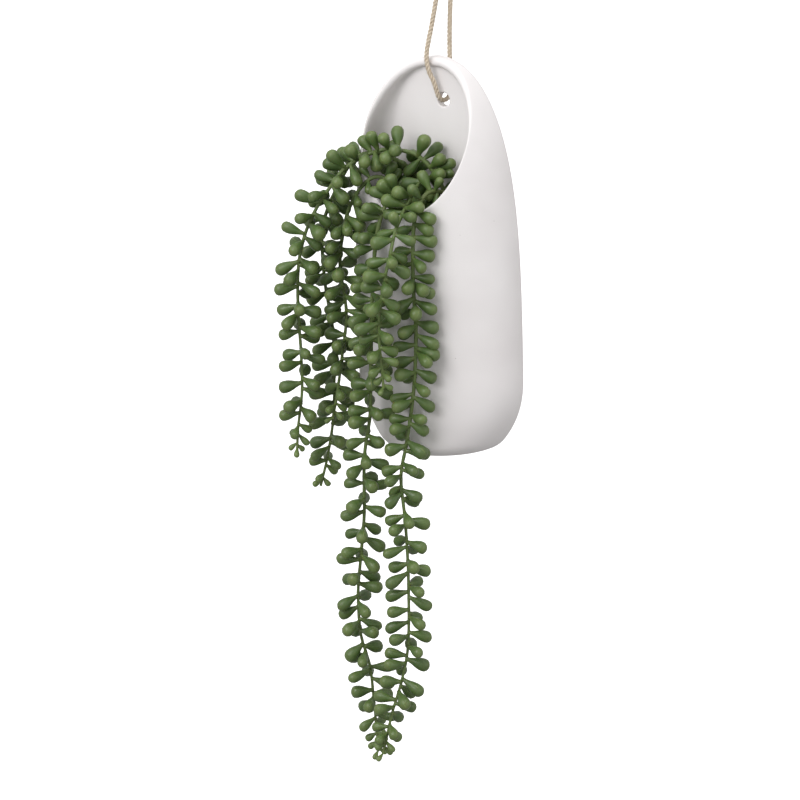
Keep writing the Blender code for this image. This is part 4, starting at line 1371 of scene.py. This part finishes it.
@dataclass
class JuteCord:
    """The cord that carries the pot, laid up from three plies, and the knot that closes it."""

    radius: float = 1.5 * MM
    pitch: float = 7.5 * MM
    plies: int = 3
    path_step: float = 0.5 * MM
    knot_middle: Vector = field(default_factory=lambda: Vector((8.0, 3.0, 330.0)) * MM)
    knot_radius: float = 5.2 * MM
    knot_turns: float = 3.0
    knot_rise: float = 2.75 * MM
    finish: JuteFibre = field(default_factory=JuteFibre)
    # Route of the cord in millimetres: from the knot down in front of the rim, through the hole,
    # up behind the pot, through the knot, round the eye and back into the knot.
    route: list = field(default_factory=lambda: [
        (7.0, 1.6, 329.0), (7.0, 1.6, 322.0), (5.7, 0.0, 310.0), (2.8, -3.8, 284.0),
        (0.0, -7.8, 260.0), (-1.7, -10.6, 246.0), (-1.8, -11.4, 238.5), (-0.4, -11.0, 231.5),
        (2.2, -10.3, 226.0), (3.6, -9.5, 220.4), (4.2, -8.6, 217.0), (4.6, -6.2, 214.5),
        (4.7, -2.8, 213.6), (4.7, 0.7, 214.5), (4.7, 3.1, 217.0), (4.7, 4.0, 220.4),
        (4.6, 4.0, 226.0), (4.6, 3.5, 236.0), (4.7, 3.3, 248.0), (5.6, 3.5, 270.0),
        (7.4, 4.0, 300.0), (8.8, 4.3, 322.0), (8.95, 4.35, 331.0), (9.1, 4.6, 338.0),
        (11.2, 7.6, 344.0), (12.7, 9.7, 351.2), (11.5, 8.1, 357.6), (8.0, 3.0, 360.5),
        (4.5, -2.1, 357.6), (3.3, -3.7, 351.2), (4.8, -1.6, 344.0), (6.9, 1.4, 338.0),
        (7.0, 1.6, 331.5)])

    def lay_rule(self) -> GeometryRule:
        """Return the rule that lays plies round a path and lets short fibres stand off them."""
        rule = GeometryRule("laid_cord")
        ply_radius = rule.take("Ply Radius", "Float")
        offset = rule.take("Ply Offset", "Float")
        pitch = rule.take("Pitch", "Float")
        hairs = rule.take("Hairs", "Float")
        seed = rule.take("Seed", "Int")
        material = rule.take("Finish", "Material")
        both = rule.add("GeometryNodeJoinGeometry")
        for ply in range(self.plies):
            along = rule.add("GeometryNodeSplineParameter").outputs[1]
            curve = rule.store(rule.start.outputs[0], "along", along)
            curve = rule.store(curve, "ply", rule.maths("ADD", float(ply), 0.0))
            normal = rule.add("GeometryNodeInputNormal").outputs[0]
            tangent = rule.add("GeometryNodeInputTangent").outputs[0]
            other = rule.vector_maths("CROSS_PRODUCT", tangent, normal)
            turn = rule.maths("MULTIPLY", rule.maths("DIVIDE", along, pitch), 2 * math.pi)
            turn = rule.maths("ADD", turn, 2 * math.pi * ply / self.plies)
            aside = rule.vector_maths(
                "ADD", rule.vector_maths("SCALE", normal, scale=rule.maths("COSINE", turn)),
                rule.vector_maths("SCALE", other, scale=rule.maths("SINE", turn)))
            moved = rule.add("GeometryNodeSetPosition",
                             {"Geometry": curve,
                              "Offset": rule.vector_maths("SCALE", aside, scale=offset)})
            ring = rule.add("GeometryNodeCurvePrimitiveCircle", {"Resolution": 8, "Radius": 1.0})
            around = rule.add("GeometryNodeSplineParameter").outputs[0]
            ring_curve = rule.store(ring.outputs[0], "around", around)
            wander = rule.add("ShaderNodeTexNoise", {"W": rule.maths("MULTIPLY", along, 300.0)},
                              noise_dimensions="1D").outputs[0]
            size = rule.maths("MULTIPLY", ply_radius, rule.add(
                "ShaderNodeMapRange", {0: wander, 1: 0.3, 2: 0.7, 3: 0.94, 4: 1.06}).outputs[0])
            tube = rule.add("GeometryNodeCurveToMesh",
                            {"Curve": moved.outputs[0], "Profile Curve": ring_curve,
                             "Scale": size, "Fill Caps": True})
            rule.tree.links.new(tube.outputs[0], both.inputs[0])
        tubes = both.outputs[0]
        spots = rule.add("GeometryNodeDistributePointsOnFaces",
                         {"Mesh": tubes, "Density": hairs, "Seed": seed})
        lean = rule.add("FunctionNodeRandomValue",
                        {0: (-1.0, -1.0, -1.0), 1: (1.0, 1.0, 1.0), "Seed": seed},
                        data_type="FLOAT_VECTOR").outputs[0]
        way = rule.vector_maths("ADD", spots.outputs["Normal"],
                                rule.vector_maths("SCALE", lean, scale=1.6))
        facing = rule.add("FunctionNodeAlignRotationToVector", {"Vector": way}, axis="Z")
        hair = rule.add("GeometryNodeCurvePrimitiveBezierSegment",
                        {"Start": (0, 0, 0), "Start Handle": (0, 0, 0.6 * MM),
                         "End Handle": (0.5 * MM, 0, 1.0 * MM), "End": (1.2 * MM, 0, 1.1 * MM),
                         "Resolution": 3})
        thread = rule.add("GeometryNodeCurvePrimitiveCircle",
                          {"Resolution": 3, "Radius": 0.04 * MM})
        strand = rule.add("GeometryNodeCurveToMesh",
                          {"Curve": hair.outputs[0], "Profile Curve": thread.outputs[0]})
        length = rule.add("FunctionNodeRandomValue", {2: 0.35, 3: 1.1, "Seed": seed},
                          data_type="FLOAT").outputs[1]
        fuzz = rule.add("GeometryNodeInstanceOnPoints",
                        {"Points": spots.outputs[0], "Instance": strand.outputs[0],
                         "Rotation": facing.outputs[0], "Scale": length})
        whole = rule.add("GeometryNodeJoinGeometry")
        rule.tree.links.new(tubes, whole.inputs[0])
        rule.tree.links.new(fuzz.outputs[0], whole.inputs[0])
        rule.give(rule.dressed(whole.outputs[0], material))
        return rule

    def knot_line(self) -> list[Vector]:
        """Return the path of the cord that is wound round both strands, its ends tucked in."""
        steps = 150
        route = []
        for i in range(steps + 1):
            share = i / steps
            turn = 0.6 + share * self.knot_turns * 2 * math.pi
            edge = min(share, 1 - share) / 0.07
            radius = self.knot_radius - 2.2 * MM * max(1 - edge, 0.0)
            rise = (share - 0.5) * self.knot_turns * self.knot_rise
            rise += 0.7 * MM * math.sin(turn + 0.9)
            route.append(self.knot_middle + Vector((radius * math.cos(turn),
                                                    radius * math.sin(turn), rise)))
        return smooth_line(route, self.path_step)

    def build(self) -> list[bpy.types.Object]:
        """Build the cord and its knot."""
        rule = self.lay_rule()
        material = self.finish.material()
        line = smooth_line([Vector(p) * MM for p in self.route], self.path_step)
        made = []
        for name, path, node, seed in (("jute_knot", self.knot_line(), "cord_knot", 3),
                                       ("jute_cord", line, "cord", 8)):
            piece = rule.run(line_object(name + "_path", path), name,
                             ply_radius=0.47 * self.radius * 1.12, ply_offset=0.5 * self.radius,
                             pitch=self.pitch, hairs=190000.0, seed=seed, finish=material)
            made.append(stand_for(piece, Slot.CORD, node))
        path = [point - HANG_POINT for point in line]
        return made


@dataclass
class Studio:
    """Plain pale floor, soft lights and the camera at the photograph's angle."""

    azimuth: float = math.radians(36)
    elevation: float = math.radians(12.3)
    roll: float = math.radians(1.25)
    distance: float = 3.0
    aim: Vector = field(default_factory=lambda: Vector((0, 0, 120 * MM)) - HANG_POINT)
    pixels_to_metre: float = 1653.0
    image_side: float = 800.0
    aim_pixel: tuple[float, float] = (444.4, 250.9)
    floor_height: float = -1.6

    def axes(self) -> tuple[Vector, Vector, Vector]:
        """Return the picture's right and up, and the way back to the camera."""
        right = Vector((math.cos(self.azimuth), math.sin(self.azimuth), 0))
        back = Vector((math.sin(self.azimuth) * math.cos(self.elevation),
                       -math.cos(self.azimuth) * math.cos(self.elevation),
                       math.sin(self.elevation)))
        up = back.cross(right)
        rolled = right * math.cos(self.roll) - up * math.sin(self.roll)
        return rolled, back.cross(rolled), back

    def camera(self) -> bpy.types.Object:
        """Put the camera where it sees the object as the photograph does."""
        right, up, back = self.axes()
        place = self.aim + back * self.distance
        half = self.image_side / 2
        middle = (self.aim + right * ((half - self.aim_pixel[0]) / self.pixels_to_metre)
                  - up * ((half - self.aim_pixel[1]) / self.pixels_to_metre))
        back = (place - middle).normalized()
        right = up.cross(back).normalized()
        up = back.cross(right)
        data = bpy.data.cameras.new("camera")
        data.sensor_width = 36.0
        data.lens = self.pixels_to_metre * self.distance * data.sensor_width / self.image_side
        data.clip_end = 200.0
        camera = bpy.data.objects.new("camera", data)
        camera.matrix_world = Matrix.Translation(place) @ Matrix(
            (right, up, back)).transposed().to_4x4()
        bpy.context.scene.collection.objects.link(camera)
        bpy.context.scene.camera = camera
        return camera

    def lamp(self, name: str, across: float, up: float, towards: float, size: float,
             power: float, colour: Colour = (1.0, 1.0, 1.0)) -> bpy.types.Object:
        """Hang one soft square lamp that faces the middle of the object.

        Args:
            name: The lamp's name.
            across: How far to the camera's right, in metres.
            up: How far above the object's middle.
            towards: How far towards the camera.
            size: The side of the lamp.
            power: Its power in watts.
            colour: Its colour.

        Returns:
            The lamp.
        """
        right, _, _ = self.axes()
        flat = Vector((math.sin(self.azimuth), -math.cos(self.azimuth), 0))
        middle = self.aim
        place = middle + right * across + Vector((0, 0, up)) + flat * towards
        data = bpy.data.lights.new(name, "AREA")
        data.size = size
        data.energy = power
        data.color = colour
        item = bpy.data.objects.new(name, data)
        item.matrix_world = Matrix.Translation(place) @ (
            middle - place).to_track_quat("-Z", "Y").to_matrix().to_4x4()
        bpy.context.scene.collection.objects.link(item)
        return item

    def lights(self) -> None:
        """Hang the lamps and light the room evenly."""
        self.lamp("key_softbox", -1.3, 1.5, 1.6, 1.6, 40.0)
        self.lamp("fill_softbox", 1.8, 0.5, 1.4, 1.8, 8.0)
        self.lamp("top_softbox", 0.2, 2.2, 0.2, 1.6, 14.0)
        world = bpy.data.worlds.new("pale_room")
        world.use_nodes = True
        sketch = TreeSketch(world.node_tree)
        way = sketch.add("ShaderNodeTexCoord").outputs["Generated"]
        height = sketch.add("ShaderNodeSeparateXYZ", {0: way}).outputs[2]
        bright = sketch.add("ShaderNodeMapRange", {0: height, 1: -0.5, 2: 0.6, 3: 0.42, 4: 0.75})
        ground = world.node_tree.nodes["Background"]
        ground.inputs[0].default_value = (1.0, 0.995, 0.99, 1.0)
        world.node_tree.links.new(bright.outputs[0], ground.inputs[1])
        bpy.context.scene.world = world
        bpy.context.scene.view_settings.view_transform = "Standard"

    def floor(self) -> bpy.types.Object:
        """Lay the wide pale floor."""
        form = bmesh.new()
        bmesh.ops.create_circle(form, cap_ends=True, segments=96, radius=60.0)
        bmesh.ops.translate(form, verts=form.verts, vec=(0, 0, self.floor_height))
        mesh = bpy.data.meshes.new("pale_floor")
        form.to_mesh(mesh)
        form.free()
        sketch = MaterialSketch("pale_floor", 0.8, emission_strength=0.75)
        shade = sketch.mix(sketch.level(sketch.noise(0.8, 2.0), 0.4, 0.6), (0.90, 0.90, 0.90),
                           (0.88, 0.88, 0.88))
        sketch.shader.inputs["Emission Color"].default_value = (1.0, 1.0, 1.0, 1.0)
        mesh.materials.append(sketch.finish(base_color=shade))
        floor = link_mesh("pale_floor", mesh)
        floor.visible_diffuse = False
        floor.visible_glossy = False
        return floor

    def build(self) -> None:
        """Set up the camera, the lights and the floor."""
        self.camera()
        self.lights()
        self.floor()


def main() -> None:
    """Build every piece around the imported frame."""
    logging.basicConfig(level=logging.INFO, format="%(name)s %(message)s")
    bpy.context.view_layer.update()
    Studio().build()
    JuteCord().build()
    pot = WallPot()
    pot.build()
    soil = SoilPlug(pot)
    soil.build()
    TrailingPlant(pot, soil).build()


if __name__ == "__main__":
    main()
